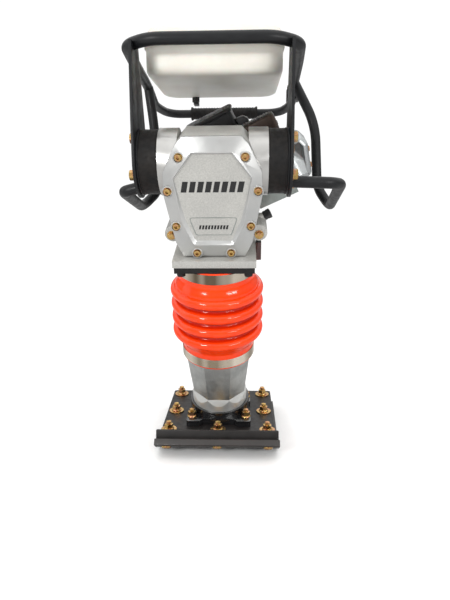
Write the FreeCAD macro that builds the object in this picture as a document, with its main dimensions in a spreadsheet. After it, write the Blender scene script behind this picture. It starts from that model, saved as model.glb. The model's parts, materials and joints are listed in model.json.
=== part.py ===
"""Jumping jack rammer of the 75 kg class, as a parametric FreeCAD document.

Row frame: millimetres, +Z up, X to the machine's side, the turned-up toe towards -Y.
The origin is on the ground under the middle of the sole's flat.

The leg leans towards the toe.  Everything above the shoe is built in the leg's own frame
and placed by LEAN: u is X, v points to the rear, square to the leg, and w runs up along
the leg's axis from the ground.  The shoe and the handle are level and use LEVEL.
"""
import FreeCAD, Part
import math
import os
import re

from FreeCAD import Placement, Rotation, Vector

# ---------------------------------------------------------------- driving dimensions (mm, degrees)
SIZES = {
    # leg frame
    "lean_angle": 16.24, "axis_offset": 9.4,
    # shoe
    "sole_width": 284.0, "sole_thick": 16.0, "sole_rear": 127.0, "sole_flat_front": 80.0,
    "toe_radius": 158.6, "toe_angle": 40.4,
    "board_width": 268.0, "board_top": 47.0, "lip_width": 280.0,
    "washer_radius": 18.5, "washer_thick": 3.0, "nut_flats": 18.0, "nut_high": 10.0, "stud_radius": 6.0,
    "toe_head_radius": 11.0, "toe_head_high": 4.0,
    # foot casting and leg
    "foot_half": 77.0, "foot_front": 104.0, "foot_back": 70.0, "foot_plate": 14.0, "hub_radius": 73.0,
    "leg_base": 91.0, "collar_radius": 67.0, "ledge_top": 129.0, "leg_top": 262.0, "leg_ring": 80.5,
    "ledge_flat": 61.3, "leg_flat_low": 74.0, "leg_flat_top": 74.0, "leg_taper_top": 240.0,
    # spring cylinder, guide and springs
    "cylinder_radius": 50.0, "cylinder_wall": 6.0, "cylinder_base": 100.0, "cylinder_top": 402.0,
    "running_fit": 0.05, "guide_wall": 8.0, "guide_base": 315.0,
    "cap_thick": 14.0, "floor_thick": 12.0, "spring_wire": 5.0, "spring_radius": 36.0,
    # ram and connecting rod
    "ram_radius": 15.0, "thread_radius": 12.0, "piston_thick": 22.0, "piston_middle": 252.0,
    "wrist_height": 487.4,
    "wrist_radius": 10.0, "clevis_radius": 20.0, "rod_length": 165.0, "crank_throw": 28.0,
    "rod_thick": 22.0, "big_end": 30.0, "bush_wall": 4.0, "pin_radius": 14.0,
    # gears and shafts
    "gear_module": 2.5, "gear_teeth": 50.0, "pinion_teeth": 16.0, "gear_face": 22.0,
    "gear_height": 650.0, "gear_front": 6.0, "pressure_angle": 25.0, "backlash": 0.3,
    "crank_shaft": 17.5, "drum_shaft": 12.0, "bearing_wide": 15.0,
    "drum_radius": 58.0, "drum_depth": 34.0, "drum_wall": 4.0,
    # crankcase
    "flange_half": 86.0, "flange_bottom": 485.0, "flange_top": 500.1, "flange_front": 81.0,
    "case_front": 48.0, "case_back": 56.0, "case_wall": 7.0, "gasket_thick": 1.0, "cover_thick": 19.0,
    "panel_depth": 5.0, "boss_radius": 67.5, "boss_end": 108.7, "mount_height": 675.5, "mount_back": 27.0,
    "rubber_radius": 65.8, "rubber_end": 146.0, "disc_end": 150.2, "lug_radius": 17.0,
    "lug_side": 92.0, "lug_left": 86.0, "lug_height": 545.0, "plate_thick": 5.6,
    "spigot_radius": 80.5, "spigot_bottom": 443.0, "black_flange": 13.0, "black_half": 83.2,
    "black_rear": 80.0,
    # bellows and bands
    "bellows_wall": 3.0, "fold_radius": 8.8, "fold_ring": 95.4, "fold_pitch": 33.8, "fold_first": 302.7,
    "band_thick": 1.4, "band_wide": 22.0,
    # engine
    "engine_height": 567.5, "engine_front": 114.0, "engine_back": 250.0, "cylinder_tilt": 25.0,
    "fan_radius": 104.0, "fan_back": 300.0, "starter_radius": 74.0, "starter_back": 326.0,
    # handle
    "tube_radius": 11.9, "tube_wall": 2.6, "plate_radius": 72.0, "grip_radius": 17.0,
    "loop_height": 872.0,
}

doc = FreeCAD.newDocument("Rammer")
sheet = doc.addObject("Spreadsheet::Sheet", "Sizes")
for row, (alias, value) in enumerate(SIZES.items(), start=1):
    sheet.set(f"A{row}", alias)
    sheet.set(f"B{row}", str(value))
    sheet.setAlias(f"B{row}", alias)
doc.recompute()


def size(alias):
    """The value of one named size."""
    return float(sheet.get(alias))


LEAN = Placement(Vector(0, size("axis_offset"), 0), Rotation(Vector(1, 0, 0), size("lean_angle")))
LEVEL = Placement()
X_AXIS = Vector(1, 0, 0)
Y_AXIS = Vector(0, 1, 0)
Z_AXIS = Vector(0, 0, 1)
SIDES = (-1, 1)
PARTS = []


# ---------------------------------------------------------------- small builders
def expand(text):
    """Turn alias words into references to the sheet."""
    return re.sub(r"[a-z_]+",
                  lambda word: "Sizes." + word.group() if word.group() in SIZES else word.group(), text)


def bind(item, **formulas):
    """Bind properties of an object to formulas of named sizes."""
    for name, formula in formulas.items():
        item.setExpression(name, expand(str(formula)))
    return item


def aim(position, axis):
    """A placement at a position with local Z along an axis."""
    return Placement(Vector(*position), Rotation(Z_AXIS, Vector(axis)))


def cylinder(radius, height, position=(0, 0, 0), axis=Z_AXIS):
    item = bind(doc.addObject("Part::Cylinder", "Cylinder"), Radius=radius, Height=height)
    item.Placement = aim(position, axis)
    return item


def cone(bottom, top, height, position=(0, 0, 0), axis=Z_AXIS):
    item = bind(doc.addObject("Part::Cone", "Cone"), Radius1=bottom, Radius2=top, Height=height)
    item.Placement = aim(position, axis)
    return item


def box(low, high):
    """A box between two corners."""
    item = doc.addObject("Part::Box", "Box")
    bind(item, Length=high[0] - low[0], Width=high[1] - low[1], Height=high[2] - low[2])
    item.Placement.Base = Vector(*low)
    return item


def prism(sides, circumradius, height, position=(0, 0, 0), axis=Z_AXIS, turn=0.0):
    item = bind(doc.addObject("Part::Prism", "Prism"), Circumradius=circumradius, Height=height)
    item.Polygon = sides
    item.Placement = aim(position, axis).multiply(Placement(Vector(), Rotation(Z_AXIS, turn)))
    return item


def turned(item, axis, angle, centre):
    """Turn an object about a line through a centre."""
    item.Placement = Placement(Vector(), Rotation(axis, angle), Vector(*centre)).multiply(item.Placement)
    return item


def fuse(*items):
    if len(items) == 1:
        return items[0]
    item = doc.addObject("Part::MultiFuse", "Fuse")
    item.Shapes = list(items)
    item.Refine = True
    return item


def cut(base, *tools):
    item = doc.addObject("Part::Cut", "Cut")
    item.Base = base
    item.Tool = fuse(*tools)
    return item


def common(first, second):
    item = doc.addObject("Part::MultiCommon", "Common")
    item.Shapes = [first, second]
    return item


def group(*items):
    """Separate solids that share one node."""
    item = doc.addObject("Part::Compound", "Group")
    item.Links = list(items)
    return item


def origin_plane(body, role):
    return next(plane for plane in body.Origin.OriginFeatures if plane.Role == role)


def sketch_on(body, role, outline, offset=0.0):
    """A closed sketch on an origin plane; a step is a point, or (middle, end) of an arc."""
    sketch = body.newObject("Sketcher::SketchObject", "Outline")
    sketch.AttachmentSupport = [(origin_plane(body, role), "")]
    sketch.MapMode = "FlatFace"
    sketch.AttachmentOffset = Placement(Vector(0, 0, offset), Rotation())
    start = Vector(*outline[0], 0)
    here = start
    for step in list(outline[1:]) + [outline[0]]:
        if isinstance(step[0], tuple):
            there = Vector(*step[1], 0)
            sketch.addGeometry(Part.Arc(here, Vector(*step[0], 0), there), False)
        else:
            there = Vector(*step, 0)
            if (there - here).Length < 1e-6:
                continue
            sketch.addGeometry(Part.LineSegment(here, there), False)
        here = there
    return sketch


def pad(role, outline, length, offset=0.0, reverse=False, middle=False):
    """A body padded from an outline on an origin plane."""
    body = doc.addObject("PartDesign::Body", "Body")
    sketch = sketch_on(body, role, outline, offset)
    feature = body.newObject("PartDesign::Pad", "Pad")
    feature.Profile = sketch
    feature.Midplane = middle
    feature.Reversed = reverse
    bind(feature, Length=length)
    sketch.Visibility = False
    return body


def revolve(outline):
    """A body turned about the local Z axis from a half outline of (radius, height) points."""
    body = doc.addObject("PartDesign::Body", "Body")
    sketch = sketch_on(body, "XZ_Plane", outline)
    feature = body.newObject("PartDesign::Revolution", "Revolution")
    feature.Profile = sketch
    feature.ReferenceAxis = (sketch, ["V_Axis"])
    feature.Angle = 360.0
    return body


def dress(body, kind, amount, keep):
    """Fillet or chamfer the edges of a body's tip that pass a test."""
    doc.recompute()
    base = body.Tip
    names = [f"Edge{i}" for i, edge in enumerate(base.Shape.Edges, start=1) if keep(edge)]
    feature = body.newObject("PartDesign::" + kind, kind)
    feature.Base = (base, names)
    if kind == "Fillet":
        bind(feature, Radius=amount)
    else:
        bind(feature, Size=amount)
    return body


def along(direction):
    """A test for straight edges parallel to a direction."""
    def test(edge):
        if edge.Curve.TypeId != "Part::GeomLine":
            return False
        return edge.Curve.Direction.cross(direction).Length < 1e-4
    return test


def frustum(flat_low, flat_high, bottom, height):
    """An octagonal frustum about local Z with flats facing front and sides."""
    ends = []
    for flat, level in ((flat_low, bottom), (flat_high, bottom + height)):
        end = doc.addObject("Part::RegularPolygon", "Octagon")
        end.Polygon = 8
        bind(end, Circumradius=flat / math.cos(math.pi / 8))
        end.Placement = Placement(Vector(0, 0, level), Rotation(Z_AXIS, 22.5))
        ends.append(end)
    item = doc.addObject("Part::Loft", "Frustum")
    item.Sections = ends
    item.Solid = True
    item.Ruled = True
    return item


def made(shape):
    """A document object for a shape that has no primitive of its own."""
    item = doc.addObject("Part::Feature", "Shaped")
    item.Shape = shape
    return item


def bent_path(points, share=0.45):
    """Straight runs joined by tangent arcs through a list of corner points."""
    corners = [Vector(*point) for point in points]
    edges = []
    here = corners[0]
    for before, corner, after in zip(corners, corners[1:], corners[2:]):
        inward = (before - corner)
        outward = (after - corner)
        run = min(inward.Length, outward.Length) * share
        inward.normalize()
        outward.normalize()
        first = corner + inward * run
        last = corner + outward * run
        bisector = inward + outward
        bisector.normalize()
        half = inward.getAngle(outward) / 2
        radius = run * math.tan(half)
        middle = corner + bisector * (run / math.cos(half) - radius)
        if (first - here).Length > 0.01:
            edges.append(Part.LineSegment(here, first).toShape())
        edges.append(Part.Arc(first, middle, last).toShape())
        here = last
    edges.append(Part.LineSegment(here, corners[-1]).toShape())
    return Part.Wire(edges)


def rod_along(points, radius, share=0.45):
    """A round bar swept along a bent path."""
    path = bent_path(points, share)
    start = Vector(*points[0])
    direction = Vector(*points[1]) - start
    section = Part.Wire(Part.makeCircle(radius, start, direction))
    return path.makePipeShell([section], True, True)


def bent_tube(points, share=0.45):
    """A hollow handle tube along a bent path."""
    outer = rod_along(points, size("tube_radius"), share)
    inner = rod_along(points, size("tube_radius") - size("tube_wall"), share)
    return outer.cut(inner)


def node(label, item, placement=LEVEL):
    """Name a sub-part and put it in its place."""
    item.Placement = placement.multiply(item.Placement)
    item.Label = label
    PARTS.append(item)
    return item


def ring(outer, inner, height, position=(0, 0, 0), axis=Z_AXIS):
    """A plain tube from size formulas."""
    return cut(cylinder(outer, height, position, axis), cylinder(inner, height, position, axis))


def bolt(position, axis, flats=13.0, head=7.0, shank=10.0, radius=4.0, washer=0.0):
    """A hexagon bolt; the head stands out along the axis and the shank goes the other way."""
    direction = Vector(axis)
    direction.normalize()
    base = Vector(*position)
    pieces = [prism(6, flats / math.sqrt(3), head, tuple(base + direction * 1.6), direction),
              cylinder(flats * 0.62, 1.6, tuple(base), direction),
              cylinder(radius, shank, tuple(base), direction * -1)]
    if washer > 0:
        pieces[1] = cylinder(washer, 1.6, tuple(base), direction)
    return fuse(*pieces)


# ---------------------------------------------------------------- shoe
def toe_point(inset, angle):
    """A point on the toe's curve, inset from the underside, at an angle from straight down."""
    radius = size("toe_radius") - inset
    turn = math.radians(angle)
    return (-size("sole_flat_front") - radius * math.sin(turn), size("toe_radius") - radius * math.cos(turn))


def make_sole():
    thick = size("sole_thick")
    end = size("toe_angle")
    outline = [(size("sole_rear"), 0.0), (-size("sole_flat_front"), 0.0),
               (toe_point(0, end / 2), toe_point(0, end)),
               toe_point(thick, end),
               (toe_point(thick, end / 2), (-size("sole_flat_front"), thick)),
               (size("sole_rear"), thick)]
    body = pad("YZ_Plane", outline, "sole_width", middle=True)
    return dress(body, "Fillet", 3.0, lambda edge: along(X_AXIS)(edge) and edge.CenterOfMass.y < -165)


def board_outline():
    thick = size("sole_thick")
    top = size("board_top")
    return [(size("sole_rear"), thick), (-size("sole_flat_front"), thick),
            (toe_point(thick, 17), toe_point(thick, 36)),
            (-157.5, 63.5), (-149.0, 61.0), (-141.5, top), (size("sole_rear"), top)]


def board_spots():
    """Where the eight board bolts stand."""
    rows = ((-121.8, (-115.6, 0.0, 115.6)), (-14.8, (-110.9, 110.9)), (97.8, (-110.6, 0.0, 110.6)))
    return [(x, y) for y, columns in rows for x in columns]


def foot_spots():
    return [(side * 65.5, y) for side in SIDES for y in (-73.0, 50.0)]


def make_board():
    top = size("board_top")
    body = pad("YZ_Plane", board_outline(), "board_width", middle=True)
    dress(body, "Fillet", 2.0, lambda edge: along(X_AXIS)(edge) and edge.CenterOfMass.z > top + 5)
    dress(body, "Fillet", 6.0, lambda edge: along(Z_AXIS)(edge) and edge.CenterOfMass.y > 100)
    wide = pad("YZ_Plane", board_outline(), "lip_width", middle=True)
    dress(wide, "Fillet", 2.0, lambda edge: along(X_AXIS)(edge) and edge.CenterOfMass.z > top + 5)
    return fuse(body, common(wide, box((-200, -200, 0), (200, -141.5, 100))))


def make_board_washers():
    top = size("board_top")
    items = []
    for x, y in board_spots():
        items.append(ring("washer_radius", "stud_radius", "washer_thick", (x, y, top)))
    return group(*items)


def stud_with_nut(x, y, base, rise, flats="nut_flats"):
    """A stud end with its flanged nut."""
    nut = prism(6, f"{flats} / sqrt(3)", "nut_high", (x, y, base + 2.5))
    flange = cylinder("nut_flats * 0.62", 2.5, (x, y, base))
    stud = cylinder("stud_radius", rise, (x, y, base))
    tip = cone("stud_radius", "stud_radius - 1.2", 1.2, (x, y, base + rise))
    return fuse(nut, flange, stud, tip)


def make_board_bolts():
    """Nuts and stud ends on the board, and the toe's bolt heads."""
    base = size("board_top") + size("washer_thick")
    return group(*[stud_with_nut(x, y, base, 19.0) for x, y in board_spots()], *toe_heads())


def toe_heads():
    """Low round bolt heads on the toe's slope."""
    slope = 35.0
    y, z = toe_point(0, slope)
    out = Vector(0, -math.sin(math.radians(slope)), -math.cos(math.radians(slope)))
    items = []
    for x in (-115.6, 0.0, 115.6):
        head = cone("toe_head_radius", "toe_head_radius - 2.5", "toe_head_high", (x, y, z), out)
        items.append(head)
    return items


def make_foot():
    """Black cast foot: a plate with four ears, a leaning hub and ribs."""
    top = size("board_top")
    half = size("foot_half")
    front = -size("foot_front")
    back = size("foot_back")
    outline = [(-half, front), (-half + 32, front), (-half + 40, front + 12), (half - 40, front + 12),
               (half - 32, front), (half, front), (half, front + 58), (half - 9, front + 70),
               (half - 9, back - 62), (half, back - 50), (half, back), (half - 34, back),
               (half - 42, back - 12), (-half + 42, back - 12), (-half + 34, back), (-half, back),
               (-half, back - 50), (-half + 9, back - 62), (-half + 9, front + 70), (-half, front + 58)]
    plate = pad("XY_Plane", outline, "foot_plate", offset=top)
    dress(plate, "Fillet", 7.0,
          lambda edge: along(Z_AXIS)(edge) and abs(abs(edge.CenterOfMass.x) - half) < 0.5)
    rim = 6.0
    hub = cylinder("hub_radius", 60.0 + rim, (0, 0, size("leg_base") - 60.0))
    hub.Placement = LEAN.multiply(hub.Placement)
    socket = cylinder("collar_radius + 0.3", rim + 4.0, (0, 0, size("leg_base")))
    socket.Placement = LEAN.multiply(socket.Placement)
    ribs = []
    for angle in (35, 90, 145, 215, 325):
        rib = box((60, -4.5, top), (82, 4.5, top + 26))
        rib.Placement = Placement(Vector(0, -14, 0), Rotation(Z_AXIS, angle)).multiply(rib.Placement)
        ribs.append(rib)
    rib_set = common(fuse(*ribs), cylinder(79.0, 60.0, (0, -14, top)))
    whole = fuse(plate, hub, rib_set)
    below = box((-200, -200, -40), (200, 200, top))
    bore = cylinder("cylinder_radius", 60.0, (0, 0, size("cylinder_base") - 12.0))
    bore.Placement = LEAN.multiply(bore.Placement)
    holes = [cylinder("stud_radius", 80.0, (x, y, 20.0)) for x, y in foot_spots()]
    return cut(whole, below, bore, socket, *holes)


def make_foot_nuts():
    base = size("board_top") + size("foot_plate")
    items = [stud_with_nut(x, y, base, 18.0) for x, y in foot_spots()]
    shanks = [cylinder("stud_radius", "foot_plate", (x, y, size("board_top"))) for x, y in foot_spots()]
    return group(*[fuse(item, shank) for item, shank in zip(items, shanks)])


# ---------------------------------------------------------------- leg and springs
def make_leg():
    """Silver cast leg: turned collar, eight tapering flats and a round top ring."""
    ledge = size("ledge_top")
    base = size("leg_base")
    collar = common(frustum(size("leg_flat_low"), size("ledge_flat"), base, ledge - base),
                    cylinder("collar_radius", ledge - base, (0, 0, base)))
    flats = common(frustum(size("ledge_flat"), size("leg_flat_top"), ledge, size("leg_taper_top") - ledge),
                   cylinder("leg_ring - 0.2", "leg_taper_top - ledge_top", (0, 0, ledge)))
    top = cylinder("leg_ring", "leg_top - leg_taper_top", (0, 0, size("leg_taper_top")))
    bore = cylinder("cylinder_radius", 300.0, (0, 0, base - 10.0))
    pocket = cylinder("leg_ring - 8", 40.0, (0, 0, size("leg_taper_top") + 6.0))
    return cut(fuse(collar, flats, top), bore, pocket)


def make_spring_cylinder():
    wall = size("cylinder_radius") - size("cylinder_wall")
    base = size("cylinder_base")
    floor = size("floor_thick")
    tube = cylinder("cylinder_radius", "cylinder_top - cylinder_base - cap_thick", (0, 0, base))
    return cut(tube, cylinder(wall, 400.0, (0, 0, base + floor)))


def make_cylinder_cap():
    top = size("cylinder_top")
    thick = size("cap_thick")
    cap = cylinder("cylinder_radius", "cap_thick", (0, 0, top - thick))
    bore = cylinder("ram_radius + running_fit", "cap_thick", (0, 0, top - thick))
    screws = [cylinder(3.0, 6.0, (39 * math.cos(a), 39 * math.sin(a), top - 4)) for a in spread(6)]
    return cut(cap, bore, *screws)


def spread(count, start=0.0):
    """Evenly spaced angles round a circle, in radians."""
    return [math.radians(start) + 2 * math.pi * i / count for i in range(count)]


def coil_spring(bottom, top, turns):
    """A round-wire coil between two heights."""
    wire = size("spring_wire")
    pitch = (top - bottom - 2 * wire) / turns
    helix = Part.makeHelix(pitch, pitch * turns, size("spring_radius"))
    section = Part.Wire(Part.makeCircle(wire, Vector(size("spring_radius"), 0, 0), Y_AXIS))
    coil = Part.Wire(helix).makePipeShell([section], True, True)
    coil.translate(Vector(0, 0, bottom + wire))
    return made(coil)


def bellows_outline():
    """Half outline of the bellows: outer wall up, inner wall down."""
    wall = size("bellows_wall")
    neck = size("leg_ring")
    low = 234.0
    high = 471.8
    ring_r = size("fold_ring")
    fold = size("fold_radius")
    pitch = size("fold_pitch")
    dip = pitch / 2 - fold
    centres = [size("fold_first") + pitch * i for i in range(4)]
    outer = [(neck + wall, low), (neck + wall, 262.0), (ring_r, centres[0] - fold)]
    for i, height in enumerate(centres):
        outer.append(((ring_r + fold, height), (ring_r, height + fold)))
        if i < 3:
            outer.append(((ring_r - dip, height + pitch / 2), (ring_r, height + pitch - fold)))
    outer += [(neck + wall, 444.0), (neck + wall, high)]
    inner = [(neck, high), (neck, 443.0), (ring_r, centres[3] + fold - wall)]
    for i, height in reversed(list(enumerate(centres))):
        inner.append(((ring_r + fold - wall, height), (ring_r, height - fold + wall)))
        if i > 0:
            inner.append(((ring_r - dip - wall, height - pitch / 2), (ring_r, height - pitch + fold - wall)))
    inner += [(neck, 264.0), (neck, low)]
    return outer + inner


def make_band(bottom):
    """A steel band with its worm housing at the rear."""
    inner = size("leg_ring") + size("bellows_wall")
    band = ring(inner + size("band_thick"), inner, "band_wide", (0, 0, bottom))
    housing = box((-14, inner, bottom + 4), (14, inner + 11, bottom + 18))
    screw = cylinder(5.0, 12.0, (14, inner + 6, bottom + 11), X_AXIS)
    return cut(fuse(band, housing, screw), cylinder(inner, 30.0, (0, 0, bottom - 2)))


# ---------------------------------------------------------------- ram, rod and crank
def make_piston_rod():
    """Ram: round rod with a clevis eye at the top and a thread for the piston below."""
    wrist = size("wrist_height")
    shoulder = size("piston_middle") + size("piston_thick") / 2
    end = size("piston_middle") - size("piston_thick") / 2 - 22.0
    thread = cylinder("thread_radius", shoulder - end, (0, 0, end))
    stem = cylinder("ram_radius", wrist - 26.0 - shoulder, (0, 0, shoulder))
    head = common(cylinder("clevis_radius + 8", 46.0, (0, 0, wrist - 26.0)),
                  box((-20, -26, wrist - 26.0), (20, 26, wrist + 20.0)))
    slot = box((-24, -11.5, wrist - 23.0), (24, 11.5, wrist + 24.0))
    eye = cylinder("wrist_radius", 70.0, (0, -35, wrist), Y_AXIS)
    return cut(fuse(thread, stem, head), slot, eye)


def make_piston():
    """Piston with its locking nut."""
    middle = size("piston_middle")
    half = size("piston_thick") / 2
    disc = cylinder("cylinder_radius - cylinder_wall - 0.4", "piston_thick", (0, 0, middle - half))
    nut = prism(6, 21.0, 18.0, (0, 0, middle - half - 18.0))
    return cut(fuse(disc, nut), cylinder("thread_radius", 60.0, (0, 0, middle - 35.0)))


def rod_angle():
    """Lean of the rod when the crank pin stands level with the gear's centre."""
    return math.degrees(math.asin(size("crank_throw") / size("rod_length")))


def on_rod(item):
    """Lean a rod piece, built upright over the wrist pin, to the crank pin."""
    return turned(item, Y_AXIS, rod_angle(), (0, 0, size("wrist_height")))


def make_connecting_rod():
    """Forged rod between the wrist pin and the crank pin."""
    wrist = size("wrist_height")
    crank = wrist + size("rod_length")
    half = size("rod_thick") / 2
    small = cylinder(17.0, "rod_thick", (0, -half, wrist), Y_AXIS)
    big = cylinder("big_end", "rod_thick", (0, -half, crank), Y_AXIS)
    shank = box((-13, -half + 3, wrist + 8), (13, half - 3, crank - 20))
    eye = cylinder("wrist_radius + running_fit", 60.0, (0, -30, wrist), Y_AXIS)
    bore = cylinder("pin_radius + bush_wall", 60.0, (0, -30, crank), Y_AXIS)
    return on_rod(cut(fuse(small, big, shank), eye, bore))


def crank_centre():
    return size("wrist_height") + size("rod_length")


def make_rod_bush():
    half = size("rod_thick") / 2
    spot = (0, -half, crank_centre())
    return on_rod(ring("pin_radius + bush_wall", "pin_radius", "rod_thick", spot, Y_AXIS))


def make_crank_pin():
    """Crank pin with its washer and nut; it stops short of the gear's face."""
    half = size("rod_thick") / 2
    pin = cylinder("pin_radius", "rod_thick + 3.5", (0, -half - 1.0, crank_centre()), Y_AXIS)
    washer = cylinder(20.0, 3.0, (0, -half - 4.0, crank_centre()), Y_AXIS)
    nut = prism(6, 13.0, 9.0, (0, -half - 13.0, crank_centre()), Y_AXIS)
    return on_rod(fuse(pin, washer, nut))


def gear_outline(teeth, phase):
    """Corner points of an involute gear in its own plane."""
    module = size("gear_module")
    angle = math.radians(size("pressure_angle"))
    pitch_radius = module * teeth / 2
    base = pitch_radius * math.cos(angle)
    tip = pitch_radius + module * 0.95
    root = pitch_radius - module * 1.2
    half = math.pi / (2 * teeth) - size("backlash") / (2 * pitch_radius) + math.tan(angle) - angle
    points = []
    for tooth in range(int(teeth)):
        middle = phase + 2 * math.pi * tooth / teeth
        flank = []
        for step in range(5):
            radius = max(base, root) + (tip - max(base, root)) * step / 4
            roll = math.acos(min(1.0, base / radius))
            flank.append((radius, half - (math.tan(roll) - roll)))
        left = [(radius, middle - turn) for radius, turn in flank]
        right = [(radius, middle + turn) for radius, turn in reversed(flank)]
        if root < base:
            left.insert(0, (root, middle - half))
            right.append((root, middle + half))
        points += left + right
    return [Vector(r * math.cos(a), r * math.sin(a), 0) for r, a in points]


def gear(teeth, height, front, face, phase=0.0):
    """A spur gear about the rearward axis at a height, from a front plane."""
    points = gear_outline(teeth, phase)
    wire = Part.makePolygon(points + [points[0]])
    solid = Part.Face(wire).extrude(Vector(0, 0, face))
    solid.rotate(Vector(), X_AXIS, -90)
    solid.translate(Vector(0, front, height))
    return made(solid)


def gear_front():
    """The front plane of the gear, clear of the crank pin's end."""
    return size("rod_thick") / 2 + 3.4


def make_crank_gear():
    """Crank gear and its shaft, with the seat of the crank pin and lightening holes."""
    front = gear_front()
    height = size("gear_height")
    wheel = gear(size("gear_teeth"), height, front, size("gear_face"))
    shaft = cylinder("crank_shaft", 23.0, (0, front + size("gear_face"), height), Y_AXIS)
    holes = [cylinder("pin_radius", 12.0, (size("crank_throw"), front - 5, height), Y_AXIS)]
    for angle in (115, 155, 205, 245):
        turn = math.radians(angle)
        spot = (42 * math.cos(turn), front - 5, height + 42 * math.sin(turn))
        holes.append(cylinder(10.0, 60.0, spot, Y_AXIS))
    return cut(fuse(wheel, shaft), *holes)


def drum_front():
    return gear_front() + size("gear_face") + 34.0


def make_clutch_drum():
    """Pinion and shaft in one piece with the clutch drum behind it."""
    front = gear_front()
    height = size("engine_height")
    pinion = gear(size("pinion_teeth"), height, front - 1.0, size("gear_face") + 2.0)
    shaft = cylinder("drum_shaft", 40.0, (0, front + size("gear_face"), height), Y_AXIS)
    drum = cut(cylinder("drum_radius", "drum_depth", (0, drum_front(), height), Y_AXIS),
               cylinder("drum_radius - drum_wall", 60.0,
                        (0, drum_front() + size("drum_wall"), height), Y_AXIS))
    return fuse(pinion, shaft, drum)


def bearing_front():
    return gear_front() + size("gear_face") + 5.0


def make_bearings():
    """Rings of the crank shaft's and the drum shaft's bearings."""
    crank = ring("crank_shaft * 2", "crank_shaft + running_fit", "bearing_wide",
                 (0, bearing_front(), size("gear_height")), Y_AXIS)
    drum = ring("drum_shaft * 2", "drum_shaft + running_fit", "bearing_wide",
                (0, bearing_front(), size("engine_height")), Y_AXIS)
    return group(crank, drum)


# ---------------------------------------------------------------- crankcase
def case_outline(inset=0.0):
    """Eight-sided outline of the crankcase in u and w."""
    half = [(64.0, 502.0), (78.0, 532.0), (96.8, 629.0), (95.9, 675.0), (70.0, 727.0), (56.0, 742.0)]
    middle = Vector(0, 622, 0)
    moved = []
    for u, w in half:
        arm = Vector(u, w, 0) - middle
        arm = arm * (1 - inset / arm.Length)
        moved.append((arm.x, middle.y + arm.y))
    return moved + [(-u, w) for u, w in reversed(moved)]


def boss(side):
    """Round machined pad that carries a rubber mount."""
    start = (side * 70.0, size("mount_back"), size("mount_height"))
    return cylinder("boss_radius", "boss_end - 70", start, X_AXIS * side)


def neck_axis():
    turn = math.radians(28)
    return Vector(math.cos(turn), 0, math.sin(turn))


NECK_START = (66.0, 19.0, 542.0)


def flange_bolt_spots():
    return [(u, v) for u in (-70.0, 70.0) for v in (-68.0, 67.0)]


def lug_spots():
    """The two side lugs in u and w; the left one sits a little closer in and lower."""
    return [(-size("lug_left"), size("lug_height") - 1.5), (size("lug_side"), size("lug_height"))]


def lug_bolt_spots():
    """The lugs' bolts in u and w, low enough for their washers to clear the shell."""
    return [(-size("lug_left") - 3.5, size("lug_height") - 5.0), (size("lug_side"), size("lug_height") - 4.0)]


def case_shanks():
    """Shanks of the flange and lug bolts."""
    bottom = size("flange_bottom") - size("black_flange")
    shanks = [cylinder(4.8, 24.0, (u, v, bottom)) for u, v in flange_bolt_spots()]
    shanks += [cylinder(4.2, 60.0, (u, -37.0, w), Y_AXIS) for u, w in lug_bolt_spots()]
    return shanks


def make_crankcase():
    """Cast crankcase with base flange, side bosses, lugs, filler neck and clutch bell."""
    back = size("case_back")
    gear_high = size("gear_height")
    drum_high = size("engine_height")
    shell = pad("XZ_Plane", case_outline(), "case_front + case_back", offset=size("case_front"), reverse=True)
    hollow = pad("XZ_Plane", case_outline(size("case_wall")), "case_front + case_back - case_wall",
                 offset=size("case_front") + 1.0, reverse=True)
    flange = box((-size("flange_half"), -size("flange_front"), size("flange_bottom")),
                 (size("flange_half"), size("black_rear"), size("flange_top")))
    throat = box((-66, -46, size("flange_top")), (66, 60, 512))
    bell = cone("drum_radius + 16", "drum_radius + 30", "engine_front - case_back",
                (0, back, drum_high), Y_AXIS)
    lugs = []
    for u, w in lug_spots():
        barrel = cylinder("lug_radius", 78.0, (u, -37.0, w), Y_AXIS)
        inner = math.copysign(60.0, u)
        bridge = box((min(inner, u), -35.0, w - 15.0), (max(inner, u), 39.0, w + 15.0))
        lugs += [barrel, bridge]
    neck = cylinder(8.6, 42.0, NECK_START, neck_axis())
    casting = cut(fuse(shell, flange, throat, bell, boss(-1), boss(1), neck, *lugs), hollow)
    hubs = [cylinder(42.0, 25.0, (0, bearing_front(), gear_high), Y_AXIS),
            cylinder(31.0, 14.0, (0, bearing_front(), drum_high), Y_AXIS)]
    bell_room = cylinder("drum_radius + 6", 80.0, (0, back + 5.0, drum_high), Y_AXIS)
    ram_room = cylinder("cylinder_radius + 0.6", 60.0, (0, 0, size("flange_bottom") - 2.0))
    crank_seat = cylinder("crank_shaft * 2", 20.0, (0, bearing_front() - 0.5, gear_high), Y_AXIS)
    drum_seat = cylinder("drum_shaft * 2", 60.0, (0, bearing_front() - 0.5, drum_high), Y_AXIS)
    neck_bore = cylinder(6.0, 60.0, (62.0, 19.0, 540.0), neck_axis())
    return cut(fuse(casting, *hubs), bell_room, ram_room, crank_seat, drum_seat, neck_bore, *case_shanks())


def make_gasket():
    sheet_ring = pad("XZ_Plane", case_outline(), "gasket_thick", offset=size("case_front"))
    return cut(sheet_ring, pad("XZ_Plane", case_outline(size("case_wall")), "gasket_thick + 4",
                               offset=size("case_front") - 2))


def panel_outline(inset=0.0):
    """Recessed panel of the cover."""
    half = [(38.5 - inset * 0.4, 531.0 + inset), (75.7 - inset, 667.4), (38.5 - inset * 0.6, 713.5 - inset)]
    bowed = [half[0], ((60.0 - inset, 574.0), (66.5 - inset, 607.0)), half[1], half[2]]
    left = [(-38.5 + inset * 0.6, 713.5 - inset), (-75.7 + inset, 667.4), (-66.5 + inset, 607.0),
            ((-60.0 + inset, 574.0), (-38.5 + inset * 0.4, 531.0 + inset))]
    return bowed + left


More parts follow.
